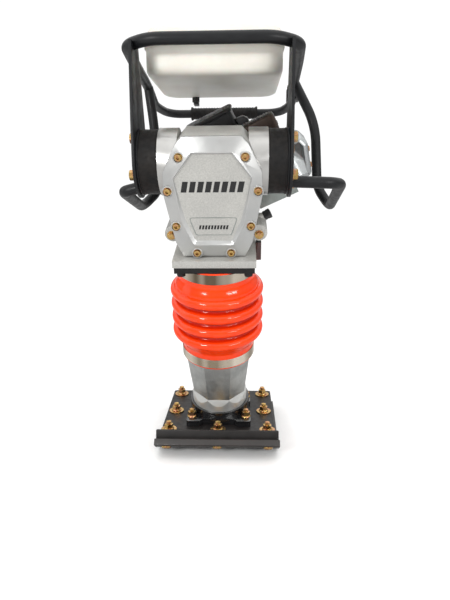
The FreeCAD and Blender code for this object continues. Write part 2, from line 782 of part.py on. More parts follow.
def cover_spots():
    """Where the eight cover screws sit."""
    half = ((63.9, 705.0), (89.3, 639.8), (75.7, 568.7), (35.2, 511.5))
    return [(side * u * 0.985, w) for u, w in half for side in SIDES]


def make_cover():
    """Octagonal cast cover with a recessed panel and eight screw seats."""
    start = size("case_front") + size("gasket_thick")
    face = start + size("cover_thick")
    body = pad("XZ_Plane", case_outline(), "cover_thick", offset=start)
    dress(body, "Chamfer", 7.0, lambda edge: edge.BoundBox.YMax < 0.01 - face)
    ears = [cylinder(11.0, "cover_thick - 3", (u, -face + 3.0, w), Y_AXIS) for u, w in cover_spots()]
    panel = pad("XZ_Plane", panel_outline(), 20.0, offset=face - size("panel_depth"))
    room = pad("XZ_Plane", case_outline(22.0), 8.0, offset=start + 8.0, reverse=True)
    seats = [cylinder(9.0, 10.0, (u, -face - 3.0, w), Y_AXIS) for u, w in cover_spots()]
    holes = [cylinder(4.2, 30.0, (u, -face, w), Y_AXIS) for u, w in cover_spots()]
    return cut(fuse(body, *ears), panel, room, *seats, *holes)


def make_cover_screws():
    """Socket head screws in the cover's seats."""
    face = size("case_front") + size("gasket_thick") + size("cover_thick")
    items = []
    for u, w in cover_spots():
        head = cylinder(6.5, 8.0, (u, -face - 1.0, w), Y_AXIS)
        shank = cylinder(4.2, 12.0, (u, -face + 7.0, w), Y_AXIS)
        socket = prism(6, 3.6, 5.0, (u, -face - 1.5, w), Y_AXIS)
        items.append(cut(fuse(head, shank), socket))
    return group(*items)


def make_guide_cylinder():
    inner = size("cylinder_radius") + size("running_fit")
    tube = ring(inner + size("guide_wall"), inner, "flange_bottom - guide_base", (0, 0, size("guide_base")))
    return tube


def make_lower_flange():
    """Black square flange with the spigot that holds the bellows."""
    half = size("black_half")
    bottom = size("flange_bottom") - size("black_flange")
    plate = box((-half, -half + 3.5, bottom), (half, size("black_rear") - 2, size("flange_bottom")))
    spigot = cylinder("spigot_radius", bottom - size("spigot_bottom") + 5, (0, 0, size("spigot_bottom")))
    room = cylinder("spigot_radius - 5", bottom - size("spigot_bottom"), (0, 0, size("spigot_bottom")))
    bore = cylinder("cylinder_radius + running_fit + guide_wall", 80.0, (0, 0, 430.0))
    return cut(fuse(plate, spigot), room, bore, *case_shanks()[:4])


def make_case_bolts():
    """Bolts of the black flange, from below, and of the two side lugs, from the front."""
    bottom = size("flange_bottom") - size("black_flange")
    items = [bolt((u, v, bottom), (0, 0, -1), flats=16, head=8, shank=24, radius=4.8)
             for u, v in flange_bolt_spots()]
    items += [bolt((u, -37.0, w), (0, -1, 0), flats=13, head=6.5, shank=60, radius=4.2, washer=9.5)
              for u, w in lug_bolt_spots()]
    return group(*items)


def make_oil_gauge():
    """Level gauge on the side of the base flange."""
    return box((size("flange_half"), 12.0, 462.0), (size("flange_half") + 12.5, 25.0, 505.0))


def make_rubbers():
    """Round rubber mounts with their bonded outer discs."""
    items = []
    for side in SIDES:
        start = (side * size("boss_end"), size("mount_back"), size("mount_height"))
        items.append(cylinder("rubber_radius", "rubber_end - boss_end", start, X_AXIS * side))
    return group(*items)


def make_oil_cap():
    axis = neck_axis()
    start = Vector(*NECK_START) + axis * 42.3
    knob = prism(12, 10.0, 15.5, tuple(start), axis)
    plug = cylinder(5.7, 14.0, tuple(start - axis * 13.0), axis)
    return fuse(knob, plug)


# ---------------------------------------------------------------- engine
def slanted(item):
    """Lean an engine piece along the inclined cylinder, which points to +X."""
    return turned(item, Y_AXIS, -size("cylinder_tilt"), (0, 0, size("engine_height")))


def slab(start, end, half_high, front, back):
    """A block along the cylinder's axis, from a start to an end distance from the shaft."""
    middle = size("engine_height")
    return slanted(box((start, front, middle - half_high), (end, back, middle + half_high)))


def make_engine_block():
    """Crankcase of the engine with its finned cylinder."""
    height = size("engine_height")
    front = size("engine_front")
    back = size("engine_back")
    round_case = cylinder(76.0, back - front, (0, front, height), Y_AXIS)
    sump = box((-74, front, height - 84), (66, back, height))
    barrel = slab(40, 146, 50, front + 16, back - 16)
    fins = [slab(84 + 11 * i, 88 + 11 * i, 60, front + 7, back - 7) for i in range(6)]
    fins.append(slab(80, 145.5, 62, front + 2, front + 7.5))
    room = cylinder(64.0, back - front - 14, (0, front + 7, height), Y_AXIS)
    bore = slanted(cylinder(34.0, 120.0, (30, (front + back) / 2, height), X_AXIS))
    shaft = cylinder(15.0, 200.0, (0, front - 10, height), Y_AXIS)
    return cut(fuse(round_case, sump, barrel, *fins), room, bore, shaft)


def make_cylinder_head():
    front = size("engine_front")
    back = size("engine_back")
    core = slab(146, 178, 50, front + 14, back - 14)
    fins = [slab(151 + 9 * i, 154.5 + 9 * i, 60, front + 5, back - 5) for i in range(3)]
    fins.append(slab(146, 175, 62, front + 2, front + 7.5))
    return fuse(core, *fins)


def make_valve_cover():
    front = size("engine_front")
    back = size("engine_back")
    lip = slab(178, 183, 48, front + 14, back - 14)
    middle = size("engine_height")
    outline = [(s, middle + h) for s, h in ((183, -46), (217, -46), (234, 24), (224, 47), (183, 47))]
    dome = pad("XZ_Plane", outline, "engine_back - engine_front - 40", offset=-(front + 20), reverse=True)
    dress(dome, "Fillet", 12.0, lambda edge: edge.CenterOfMass.x > 190)
    return fuse(lip, slanted(dome))


def make_spark_plug():
    """Plug and boot at the head's lower rear corner."""
    height = size("engine_height")
    base = slanted(cylinder(9.0, 14.0, (163, size("engine_back") - 5, height - 18), Y_AXIS))
    boot = slanted(cylinder(8.0, 24.0, (163, size("engine_back") + 9, height - 18), Y_AXIS))
    return fuse(base, boot)


def slant_up(distance):
    """An offset square to the inclined cylinder, upwards."""
    turn = math.radians(size("cylinder_tilt"))
    return Vector(-math.sin(turn), 0, math.cos(turn)) * distance


def raised(start, end, low, high, front, back):
    """A block above the inclined cylinder, between two heights over its axis."""
    item = slab(start, end, (high - low) / 2, front, back)
    item.Placement.Base = item.Placement.Base + slant_up((high + low) / 2)
    return item


def make_muffler():
    """Silencer above the cylinder head, at the front, on its exhaust stub."""
    can = raised(108, 190, 68, 118, 126, 178)
    stub = raised(150, 168, 60, 68, 140, 158)
    return fuse(can, stub)


def make_carburettor():
    return fuse(raised(112, 150, 60, 105, 196, 234), raised(104, 112, 72, 92, 204, 226))


def make_air_filter():
    """Air cleaner box with its lid and the duct down to the carburettor."""
    case = raised(-10, 104, 110, 154, 182, 262)
    duct = raised(104, 130, 105, 130, 200, 230)
    lid = raised(-13, 107, 154, 162, 179, 265)
    return fuse(case, duct, lid)


def make_recoil_housing():
    """Fan shroud and recoil starter at the engine's rear."""
    height = size("engine_height")
    back = size("engine_back")
    shroud = cylinder("fan_radius", "fan_back - engine_back", (0, back, height), Y_AXIS)
    duct = slab(40, 150, 56, back, back + 44)
    dome = cone("starter_radius", "starter_radius - 8", "starter_back - fan_back",
                (0, size("fan_back"), height), Y_AXIS)
    tower = box((-96, size("fan_back") - 40, height + 40), (-56, size("fan_back") + 4, height + 92))
    room = cylinder(96.0, 46.0, (0, back - 1, height), Y_AXIS)
    cup = cylinder(66.0, 22.0, (0, size("fan_back") - 6, height), Y_AXIS)
    slots = []
    for turn in spread(14):
        slot = box((36, size("fan_back") + 8, -3), (60, size("fan_back") + 60, 3))
        spin = Placement(Vector(0, 0, height), Rotation(Y_AXIS, math.degrees(turn)))
        slot.Placement = spin.multiply(slot.Placement)
        slots.append(slot)
    return cut(fuse(shroud, duct, dome, tower), room, cup, *slots)


def make_crankshaft():
    """Engine shaft; its front end carries the clutch."""
    height = size("engine_height")
    front = size("engine_front")
    main = cylinder(14.9, 150.0, (0, front - 8, height), Y_AXIS)
    nose = cylinder(11.0, 26.0, (0, front - 34, height), Y_AXIS)
    webs = [cut(cylinder(42.0, 12.0, (0, v, height), Y_AXIS),
                box((-50, v - 1, height + 22), (50, v + 14, height + 60)))
            for v in (front + 34, front + 78)]
    tail = cylinder(11.0, 22.0, (0, front + 142, height), Y_AXIS)
    return fuse(main, nose, tail, *webs)


def make_flywheel():
    """Flywheel with its fan blades."""
    height = size("engine_height")
    back = size("engine_back")
    disc = cylinder(86.0, 14.0, (0, back + 6, height), Y_AXIS)
    blades = []
    for turn in spread(16):
        blade = box((56, back + 20, -2), (90, back + 36, 2))
        spin = Placement(Vector(0, 0, height), Rotation(Y_AXIS, math.degrees(turn)))
        blade.Placement = spin.multiply(blade.Placement)
        blades.append(blade)
    return cut(fuse(disc, *blades), cylinder(11.0, 80.0, (0, back - 10, height), Y_AXIS))


def clutch_front():
    return drum_front() + size("drum_wall") + 3.0


def make_clutch_hub():
    """Hub on the shaft with two guide arms for the shoes."""
    height = size("engine_height")
    start = clutch_front()
    hub = cylinder(18.0, 22.0, (0, start, height), Y_AXIS)
    arms = box((-7, start, height - 40), (7, start + 22, height + 40))
    return cut(fuse(hub, arms), cylinder(11.0, 60.0, (0, start - 10, height), Y_AXIS))


def make_clutch_shoe(side):
    """One centrifugal shoe; it slides outwards along +X or -X."""
    height = size("engine_height")
    start = clutch_front()
    half = common(ring(52.0, 19.0, 22.0, (0, start, height), Y_AXIS),
                  box((min(side * 8, side * 60), start - 1, height - 44),
                      (max(side * 8, side * 60), start + 24, height + 44)))
    return half


# ---------------------------------------------------------------- handle
def pivot():
    """The rubber mounts' axis in the row frame."""
    return LEAN.multVec(Vector(0, size("mount_back"), size("mount_height")))


def plate_outline():
    """Side plate: round about the mount, straight up to the loop."""
    centre = pivot()
    radius = size("plate_radius")
    top = size("loop_height") + 4
    return [(centre.y - radius, centre.z),
            ((centre.y, centre.z - radius), (centre.y + radius, centre.z)),
            (centre.y + radius - 18, centre.z + 70), (centre.y + 10, top), (centre.y - 60, top),
            (centre.y - radius, centre.z + 60)]


def plate_bolt_spots():
    centre = pivot()
    return [(centre.y + y, centre.z + z)
            for y, z in ((-45.0, -27.0), (27.0, -45.0), (45.0, 27.0), (-27.0, 45.0))]


def plate_shanks(side):
    """Shanks of the bolts through a side plate and its mount disc."""
    inner = side * (size("rubber_end") + 0.2)
    reach = size("disc_end") + size("plate_thick") - size("rubber_end") - 0.2
    return [cylinder(5.0, reach, (inner, y, z), X_AXIS * side) for y, z in plate_bolt_spots()]


def make_side_plates():
    """Two side plates, notched for the loop's tube at the top."""
    items = []
    for side in SIDES:
        start = size("disc_end") if side > 0 else -size("disc_end") - size("plate_thick")
        plate = pad("YZ_Plane", plate_outline(), "plate_thick", offset=start)
        tube = loop_rod(side)
        items.append(cut(plate, tube, *plate_shanks(side)))
    return group(*items)


def make_mount_discs():
    """Bonded outer discs of the rubber mounts, which the plates bolt to."""
    centre = pivot()
    items = []
    for side in SIDES:
        start = (side * (size("rubber_end") + 0.2), centre.y, centre.z)
        disc = cylinder("rubber_radius", "disc_end - rubber_end - 0.2", start, X_AXIS * side)
        items.append(cut(disc, *plate_shanks(side)))
    return group(*items)


def make_plate_bolts():
    items = []
    outer = size("disc_end") + size("plate_thick")
    for side in SIDES:
        for y, z in plate_bolt_spots():
            items.append(bolt((side * outer, y, z), (side, 0, 0), flats=18, head=9,
                              shank=outer - size("rubber_end") - 0.2, radius=5.0, washer=12.5))
    return group(*items)


def loop_points():
    """Corner points of half the handle loop, from the middle of the front bar to that of the rear."""
    high = size("loop_height")
    return [(0, -206, high + 6), (-120, -206, high + 6), (-168, -176, high + 2), (-176, -60, high - 4),
            (-186, 150, high - 10), (-196, 330, high - 34), (-166, 411, high - 45), (0, 411, high - 45)]


def loop_rod(side):
    """One half of the loop as a solid rod."""
    points = [(side * abs(x), y, z) for x, y, z in loop_points()]
    return made(rod_along(points, size("tube_radius"), 0.42))


def make_handle_loop():
    left = bent_tube(loop_points(), 0.42)
    right = left.mirror(Vector(), X_AXIS)
    return made(left.fuse(right))


def make_guard_tubes():
    """Two lower guards, each from a side plate out, back, down and up to the loop."""
    high = size("loop_height")
    reach = size("disc_end") + size("plate_thick")
    left = [(-reach, -178, 604), (-182, -176, 598), (-189, -150, 595), (-194, 62, 559), (-158, 112, 600),
            (-172, 150, 760), (-184, 152, high - 14)]
    right = [(reach, -171, 615), (238, -170, 612), (262, -140, 610), (272, 62, 558), (244, 92, 604),
             (240, 130, 760), (190, 152, high - 12)]
    items = []
    for side, points in ((-1, left), (1, right)):
        loop = loop_rod(side)
        face = box((-reach, -300, 500), (reach, -100, 700))
        items.append(cut(made(bent_tube(points, 0.4)), loop, face))
    return group(*items)


def make_grip():
    """Rubber sleeve on the rear bar."""
    high = size("loop_height")
    sleeve = cylinder("grip_radius", 200.0, (-100, 411.0, high - 45), X_AXIS)
    return cut(sleeve, cylinder("tube_radius", 220.0, (-110, 411.0, high - 45), X_AXIS))


def make_fuel_tank():
    """Moulded tank between the loop's side tubes."""
    outline = [(-118, -150), (118, -150), (140, -120), (140, 110), (118, 140), (-118, 140),
               (-140, 110), (-140, -120)]
    body = pad("XY_Plane", outline, 108.0, offset=size("loop_height") - 46)
    dress(body, "Fillet", 24.0,
          lambda edge: edge.BoundBox.ZLength < 0.01 and edge.CenterOfMass.z > size("loop_height"))
    room = pad("XY_Plane", [(-115, -145), (115, -145), (135, -117), (135, 107), (115, 135), (-115, 135),
                            (-135, 107), (-135, -117)], 88.0, offset=size("loop_height") - 41)
    neck = cylinder(24.0, 14.0, (-50, 60, size("loop_height") + 58))
    neck_room = cylinder(19.0, 60.0, (-50, 60, size("loop_height") + 20))
    return cut(fuse(body, neck), room, neck_room)


def make_fuel_cap():
    high = size("loop_height") + 72.3
    knob = cylinder(31.0, 16.0, (-50, 60, high))
    grips = [cylinder(4.0, 16.0, (-50 + 31 * math.cos(a), 60 + 31 * math.sin(a), high)) for a in spread(12)]
    plug = cylinder(18.6, 14.0, (-50, 60, high - 13.0))
    return fuse(knob, plug, *grips)


def throttle_spot():
    """The middle of the right side tube under the throttle."""
    return (191.6, 250.0, size("loop_height") - 23.3)


def make_throttle_clamp():
    """Clamp and post of the throttle on the right side tube."""
    x, y, z = throttle_spot()
    block = box((x - 16, y - 15, z - 15), (x + 16, y + 15, z + 16))
    post = cylinder(5.0, 12.0, (x, y, z + 16))
    tube = made(rod_along([(abs(px), py, pz) for px, py, pz in loop_points()], size("tube_radius"), 0.42))
    return cut(fuse(block, post), tube)


def make_throttle_lever():
    x, y, z = throttle_spot()
    base = z + 16.4
    disc = cylinder(15.0, 7.0, (x, y, base))
    arm = box((x - 5, y, base), (x + 5, y + 62, base + 7))
    knob = cylinder(9.0, 22.0, (x, y + 62, base))
    return cut(fuse(disc, arm, knob), cylinder(5.0 + size("running_fit"), 60.0, (x, y, z)))


def make_stop_switch():
    """Rocker of the stop switch on the fan shroud's flank."""
    height = size("engine_height")
    reach = size("fan_radius")
    return box((-reach - 9.0, 262.0, height - 12), (-reach - 0.3, 282.0, height + 12))


def make_fuel_valve():
    """Fuel tap handle below the tank."""
    top = size("loop_height") - 46.3
    return fuse(cylinder(9.0, 11.0, (-60, 120, top - 11)), box((-66, 120, top - 16), (-54, 152, top - 8)))


def make_choke():
    """Choke lever on the carburettor's rear face."""
    return raised(124, 132, 66, 98, 234.4, 238.4)


def make_recoil_grip():
    """Starter grip behind the tower, with its bar across the pull."""
    high = size("engine_height") + 77.5
    back = size("fan_back") + 4.4
    bar = cylinder(8.0, 70.0, (-111, back + 14, high), X_AXIS)
    stem = cylinder(5.0, 14.0, (-76, back, high), Y_AXIS)
    return fuse(bar, stem)


# ---------------------------------------------------------------- the sub-parts
node("sole_plate", make_sole())
node("shoe_board", make_board())
node("board_washers", make_board_washers())
node("board_bolts", make_board_bolts())
node("foot_casting", make_foot())
node("foot_nuts", make_foot_nuts())
node("leg_casting", make_leg(), LEAN)
node("spring_cylinder", make_spring_cylinder(), LEAN)
node("cylinder_cap", make_cylinder_cap(), LEAN)
node("lower_spring", coil_spring(112.0, 241.0, 7), LEAN)
node("upper_spring", coil_spring(263.0, 388.0, 7), LEAN)
node("bellows", revolve(bellows_outline()), LEAN)
node("lower_band", make_band(237.4), LEAN)
node("piston_rod", make_piston_rod(), LEAN)
node("piston", make_piston(), LEAN)
node("wrist_pin", cylinder("wrist_radius", 49.0, (0, -24.5, size("wrist_height")), Y_AXIS), LEAN)
node("connecting_rod", make_connecting_rod(), LEAN)
node("rod_bush", make_rod_bush(), LEAN)
node("crank_pin", make_crank_pin(), LEAN)
node("crank_gear", make_crank_gear(), LEAN)
node("clutch_drum", make_clutch_drum(), LEAN)
node("shaft_bearings", make_bearings(), LEAN)
node("crankcase", make_crankcase(), LEAN)
node("cover_gasket", make_gasket(), LEAN)
node("crankcase_cover", make_cover(), LEAN)
node("cover_screws", make_cover_screws(), LEAN)
node("guide_cylinder", make_guide_cylinder(), LEAN)
node("lower_flange", make_lower_flange(), LEAN)
node("case_bolts", make_case_bolts(), LEAN)
node("upper_band", make_band(447.5), LEAN)
node("oil_gauge", make_oil_gauge(), LEAN)
node("mount_rubbers", make_rubbers(), LEAN)
node("oil_cap", make_oil_cap(), LEAN)
node("engine_block", make_engine_block(), LEAN)
node("cylinder_head", make_cylinder_head(), LEAN)
node("valve_cover", make_valve_cover(), LEAN)
node("spark_plug", make_spark_plug(), LEAN)
node("muffler", make_muffler(), LEAN)
node("carburettor", make_carburettor(), LEAN)
node("air_filter", make_air_filter(), LEAN)
node("recoil_housing", make_recoil_housing(), LEAN)
node("engine_crankshaft", make_crankshaft(), LEAN)
node("flywheel", make_flywheel(), LEAN)
node("clutch_hub", make_clutch_hub(), LEAN)
node("clutch_shoe_left", make_clutch_shoe(-1), LEAN)
node("clutch_shoe_right", make_clutch_shoe(1), LEAN)
node("mount_discs", make_mount_discs())
node("side_plates", make_side_plates())
node("plate_bolts", make_plate_bolts())
node("handle_loop", make_handle_loop())
node("guard_tubes", make_guard_tubes())
node("rear_grip", make_grip())
node("fuel_tank", make_fuel_tank())
node("fuel_cap", make_fuel_cap())
node("throttle_clamp", make_throttle_clamp())
node("throttle_lever", make_throttle_lever())
node("stop_switch", make_stop_switch(), LEAN)
node("fuel_valve", make_fuel_valve())
node("choke_lever", make_choke(), LEAN)
node("recoil_grip", make_recoil_grip(), LEAN)

# ---------------------------------------------------------------- check and export
doc.recompute()
for item in doc.Objects:
    if "Invalid" in item.State or "Error" in item.State:
        raise RuntimeError(f"{item.Name} ({item.Label}) failed: {item.State}")
os.makedirs("parts", exist_ok=True)
for item in PARTS:
    if item.Shape.isNull() or not item.Shape.isValid():
        raise RuntimeError(f"{item.Label} has no valid shape")
    item.Shape.exportStep(f"parts/{item.Label}.step")
print(len(PARTS), "parts written")
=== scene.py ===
"""Looks of a jumping jack rammer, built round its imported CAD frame.

Everything is in metres in the row frame.  Pieces above the shoe are drawn in the leg's own
frame, in millimetres: u is X, v points to the rear, square to the leg, and w runs up the
leg's axis from the ground.  leg_place() takes them to the row frame.
"""
import json
import logging
import math
from dataclasses import dataclass, field
from enum import Enum
from typing import Callable, Sequence

import bmesh
import bpy
from mathutils import Matrix, Vector


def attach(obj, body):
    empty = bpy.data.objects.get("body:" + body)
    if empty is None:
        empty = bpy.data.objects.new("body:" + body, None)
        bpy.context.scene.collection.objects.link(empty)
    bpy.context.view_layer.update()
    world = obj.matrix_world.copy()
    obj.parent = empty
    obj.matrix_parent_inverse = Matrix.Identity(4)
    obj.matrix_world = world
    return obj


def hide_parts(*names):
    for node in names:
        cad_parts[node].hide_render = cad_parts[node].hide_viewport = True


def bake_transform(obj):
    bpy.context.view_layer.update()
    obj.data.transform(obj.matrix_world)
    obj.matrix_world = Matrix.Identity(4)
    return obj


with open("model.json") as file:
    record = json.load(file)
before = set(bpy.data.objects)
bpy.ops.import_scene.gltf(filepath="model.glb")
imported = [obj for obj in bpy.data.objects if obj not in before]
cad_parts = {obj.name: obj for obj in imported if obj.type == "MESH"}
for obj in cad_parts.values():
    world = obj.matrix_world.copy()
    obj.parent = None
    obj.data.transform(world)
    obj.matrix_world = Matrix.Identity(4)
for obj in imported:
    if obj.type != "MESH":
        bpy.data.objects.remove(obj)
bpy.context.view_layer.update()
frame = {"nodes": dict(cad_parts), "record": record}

LOG = logging.getLogger("rammer")
MM = 0.001
LEAN_ANGLE = math.radians(16.24)
LEAN_OFFSET = 9.4
LEG_WAY = (0.0, -math.sin(LEAN_ANGLE), math.cos(LEAN_ANGLE))
LEG_FOOT = (0.0, LEAN_OFFSET * MM, 0.0)
UP = Vector((0, 0, 1))
SIDES = (-1, 1)
# Distances under which points are merged: in metres, in metres on a CAD copy, and in mm.
MERGE = 1e-6
COPY_MERGE = 2e-6
PART_MERGE = 0.002
# How far, in mm, a face may lie off the depth that it is known by.
FACE_SLACK = 0.05
# Flat joints under this angle, in degrees, are dissolved on a CAD copy.
FLAT_ANGLE = 0.6
PROFILE_CORNER_STEPS = 4
BOX_CORNER_STEPS = 8
HEXAGON_STEPS = 48
ARC_STEPS = 16
THREAD_PITCH = 1.75
# Metres from the leg's axis, and along it, over which painted shade darkens the bellows' grooves.
CREST_RADIUS = 0.0975
GROOVE_RADIUS = 0.0885
GROOVE_SHADE_LOW = (0.294, 0.303)
GROOVE_SHADE_HIGH = (0.414, 0.405)
TINT_PATCH_MM = 9.0

Point2 = tuple[float, float]
Point3 = tuple[float, float, float]
Spot = tuple[Vector, Vector]
Mesh = bpy.types.Mesh
Item = bpy.types.Object
Tree = bpy.types.NodeTree
Socket = bpy.types.NodeSocket
Draft = bmesh.types.BMesh


# ---------------------------------------------------------------- places
def level_place() -> Matrix:
    """Millimetres of the row frame to metres."""
    return Matrix.Scale(MM, 4)


def leg_place() -> Matrix:
    """Millimetres of the leg frame to metres of the row frame."""
    lean = Matrix.Translation((0, LEAN_OFFSET, 0)) @ Matrix.Rotation(LEAN_ANGLE, 4, "X")
    return level_place() @ lean


def leg_axis() -> Vector:
    """The leg's direction in the row frame."""
    return Vector(LEG_WAY)


def on_leg(u: float, v: float, w: float) -> Vector:
    """A leg frame point, in metres of the row frame."""
    return leg_place() @ Vector((u, v, w))


def aimed(position: Sequence[float], axis: Sequence[float], spin: float = 0.0) -> Matrix:
    """A placement with local Z along an axis.

    Args:
        position: Where the local origin goes.
        axis: Where local Z points.
        spin: Turn about the axis, in degrees.

    Returns:
        The placement matrix, in the units of the position.
    """
    turn = UP.rotation_difference(Vector(axis)).to_matrix().to_4x4()
    return Matrix.Translation(Vector(position)) @ turn @ Matrix.Rotation(math.radians(spin), 4, "Z")


# ---------------------------------------------------------------- finishes
def linear(code: str) -> tuple[float, float, float, float]:
    """An sRGB hex colour as linear RGBA."""
    values = [int(code[i:i + 2], 16) / 255 for i in (1, 3, 5)]
    return tuple(v / 12.92 if v <= 0.04045 else ((v + 0.055) / 1.055) ** 2.4 for v in values) + (1.0,)


def add(tree: Tree, kind: str, inputs: dict | None = None, **settings) -> bpy.types.Node:
    """Add a node with its settings and links.

    Args:
        tree: The node tree that gets the node.
        kind: The node's type name.
        inputs: Input name or index to a value, or to the socket that feeds it.
        settings: Properties of the node itself.

    Returns:
        The new node.
    """
    item = tree.nodes.new(kind)
    for name, value in settings.items():
        setattr(item, name, value)
    for key, value in (inputs or {}).items():
        if isinstance(value, Socket):
            tree.links.new(value, item.inputs[key])
        else:
            item.inputs[key].default_value = value
    return item


class Lay(Enum):
    """How the marks of a finish run."""

    NONE = "even in all directions"
    LEG = "rings round the leg's axis"
    SIDE = "rings round the X axis"
    DEPTH = "rings round the crank's axis"
    UPRIGHT = "streaks along the leg's axis"


LAY_AXES = {Lay.LEG: LEG_WAY, Lay.SIDE: (1.0, 0.0, 0.0),
            Lay.DEPTH: (0.0, math.cos(LEAN_ANGLE), math.sin(LEAN_ANGLE))}


@dataclass(frozen=True)
class Finish:
    """One real surface: its colours, gloss and grain."""

    name: str
    colour: str
    shade: str
    metallic: float
    gloss: Point2
    grain_mm: float
    grain_depth_mm: float
    drift_mm: float = 60.0
    drift_mix: float = 0.5
    speckle: float = 0.0
    lay: Lay = Lay.NONE
    coat: float = 0.0
    ior: float | None = None
    soft: float = 0.0
    tint: str | None = None
    groove_shade: str | None = None
    sweep: str | None = None

    def build(self) -> bpy.types.Material:
        """Build the node material, once.

        Returns:
            The material, shared by every piece with this finish.
        """
        if self.name in bpy.data.materials:
            return bpy.data.materials[self.name]
        material = bpy.data.materials.new(self.name)
        material.use_nodes = True
        tree = material.node_tree
        tree.nodes.clear()
        place = add(tree, "ShaderNodeTexCoord").outputs["Object"]
        drift = add(tree, "ShaderNodeTexNoise", {"Vector": place, "Scale": 1000 / self.drift_mm,
                                                 "Detail": 4.0, "Roughness": 0.6})
        grain = self.grain(tree, place)
        amount = add(tree, "ShaderNodeMapRange", {"Value": drift.outputs["Fac"], "From Min": 0.38,
                                                  "From Max": 0.62, "To Max": self.drift_mix})
        colour = add(tree, "ShaderNodeMix", {"Factor": amount.outputs[0], 6: linear(self.colour),
                                             7: linear(self.shade)}, data_type="RGBA").outputs[2]
        if self.tint:
            patches = add(tree, "ShaderNodeTexNoise", {"Vector": place, "Scale": 1000 / TINT_PATCH_MM,
                                                       "Detail": 2.0})
            spots = add(tree, "ShaderNodeMapRange", {"Value": patches.outputs["Fac"], "From Min": 0.45,
                                                     "From Max": 0.62, "To Max": 0.8})
            colour = add(tree, "ShaderNodeMix", {"Factor": spots.outputs[0], 6: colour,
                                                 7: linear(self.tint)}, data_type="RGBA").outputs[2]
        # Painted shade: a darker red in the bellows' grooves.
        if self.groove_shade:
            colour = self.paint_groove_shade(tree, place, colour)
        # Painted reflection: broad dark bars round a stainless band.
        if self.sweep:
            colour = self.paint_reflection_bars(tree, place, colour)
        if self.speckle:
            bright = add(tree, "ShaderNodeMapRange", {"Value": grain, "From Min": 0.3, "From Max": 0.7,
                                                      "To Min": 1 - self.speckle, "To Max": 1 + self.speckle})
            colour = add(tree, "ShaderNodeVectorMath", {0: colour, 3: bright.outputs[0]},
                         operation="SCALE").outputs[0]
        smear = add(tree, "ShaderNodeTexNoise", {"Vector": place, "Scale": 1000 / (self.drift_mm * 0.3),
                                                 "Detail": 5.0})
        rough = add(tree, "ShaderNodeMapRange", {"Value": smear.outputs["Fac"], "From Min": 0.35,
                                                 "From Max": 0.65, "To Min": self.gloss[0],
                                                 "To Max": self.gloss[1]})
        bump = add(tree, "ShaderNodeBump", {"Height": grain, "Strength": 1.0,
                                            "Distance": self.grain_depth_mm * MM})
        shader = add(tree, "ShaderNodeBsdfPrincipled",
                     {"Base Color": colour, "Metallic": self.metallic, "Roughness": rough.outputs[0],
                      "Normal": bump.outputs[0], "Coat Weight": self.coat, "Coat Roughness": 0.08,
                      "Subsurface Weight": self.soft, "Subsurface Scale": 0.004})
        if self.ior:
            shader.inputs["IOR"].default_value = self.ior
        add(tree, "ShaderNodeOutputMaterial", {"Surface": shader.outputs[0]})
        return material

    @staticmethod
    def round_leg(tree: Tree, place: Socket) -> tuple[Socket, Socket]:
        """Where a point lies about the leg's axis.

        Args:
            tree: The material's node tree.
            place: The object coordinates.

        Returns:
            The arm from the leg's foot, and that arm crossed with the leg's axis.
        """
        arm = add(tree, "ShaderNodeVectorMath", {0: place, 1: LEG_FOOT}, operation="SUBTRACT").outputs[0]
        side = add(tree, "ShaderNodeVectorMath", {0: arm, 1: LEG_WAY}, operation="CROSS_PRODUCT").outputs[0]
        return arm, side

    def paint_groove_shade(self, tree: Tree, place: Socket, colour: Socket) -> Socket:
        """Paint shade into the bellows' grooves, deepening their colour there.

        Args:
            tree: The material's node tree.
            place: The object coordinates.
            colour: The colour of the open surface.

        Returns:
            The colour with painted shade in the grooves.
        """
        arm, side = self.round_leg(tree, place)
        radius = add(tree, "ShaderNodeVectorMath", {0: side}, operation="LENGTH").outputs["Value"]
        high = add(tree, "ShaderNodeVectorMath", {0: arm, 1: LEG_WAY},
                   operation="DOT_PRODUCT").outputs["Value"]
        groove_shade_mask = add(tree, "ShaderNodeMapRange", {"Value": radius, "From Min": CREST_RADIUS,
                                                "From Max": GROOVE_RADIUS}).outputs[0]
        for start, full in (GROOVE_SHADE_LOW, GROOVE_SHADE_HIGH):
            within = add(tree, "ShaderNodeMapRange", {"Value": high, "From Min": start, "From Max": full})
            groove_shade_mask = add(tree, "ShaderNodeMath", {0: groove_shade_mask, 1: within.outputs[0]},
                       operation="MULTIPLY").outputs[0]
        return add(tree, "ShaderNodeMix", {"Factor": groove_shade_mask, 6: colour, 7: linear(self.groove_shade)},
                   data_type="RGBA").outputs[2]

    def paint_reflection_bars(self, tree: Tree, place: Socket, colour: Socket) -> Socket:
        """Painted reflection: broad dark bars across a rolled band, which change only with the angle round
        the leg.

        Args:
            tree: The material's node tree.
            place: The object coordinates.
            colour: The colour of the bright strip.

        Returns:
            The colour with the painted reflection bars.
        """
        _, side = self.round_leg(tree, place)
        turn = add(tree, "ShaderNodeVectorMath", {0: side}, operation="NORMALIZE").outputs[0]
        bars = add(tree, "ShaderNodeTexNoise", {"Vector": turn, "Scale": 2.3, "Detail": 1.0,
                                                "Roughness": 0.5})
        amount = add(tree, "ShaderNodeMapRange", {"Value": bars.outputs["Fac"], "From Min": 0.38,
                                                  "From Max": 0.62})
        return add(tree, "ShaderNodeMix", {"Factor": amount.outputs[0], 6: colour, 7: linear(self.sweep)},
                   data_type="RGBA").outputs[2]

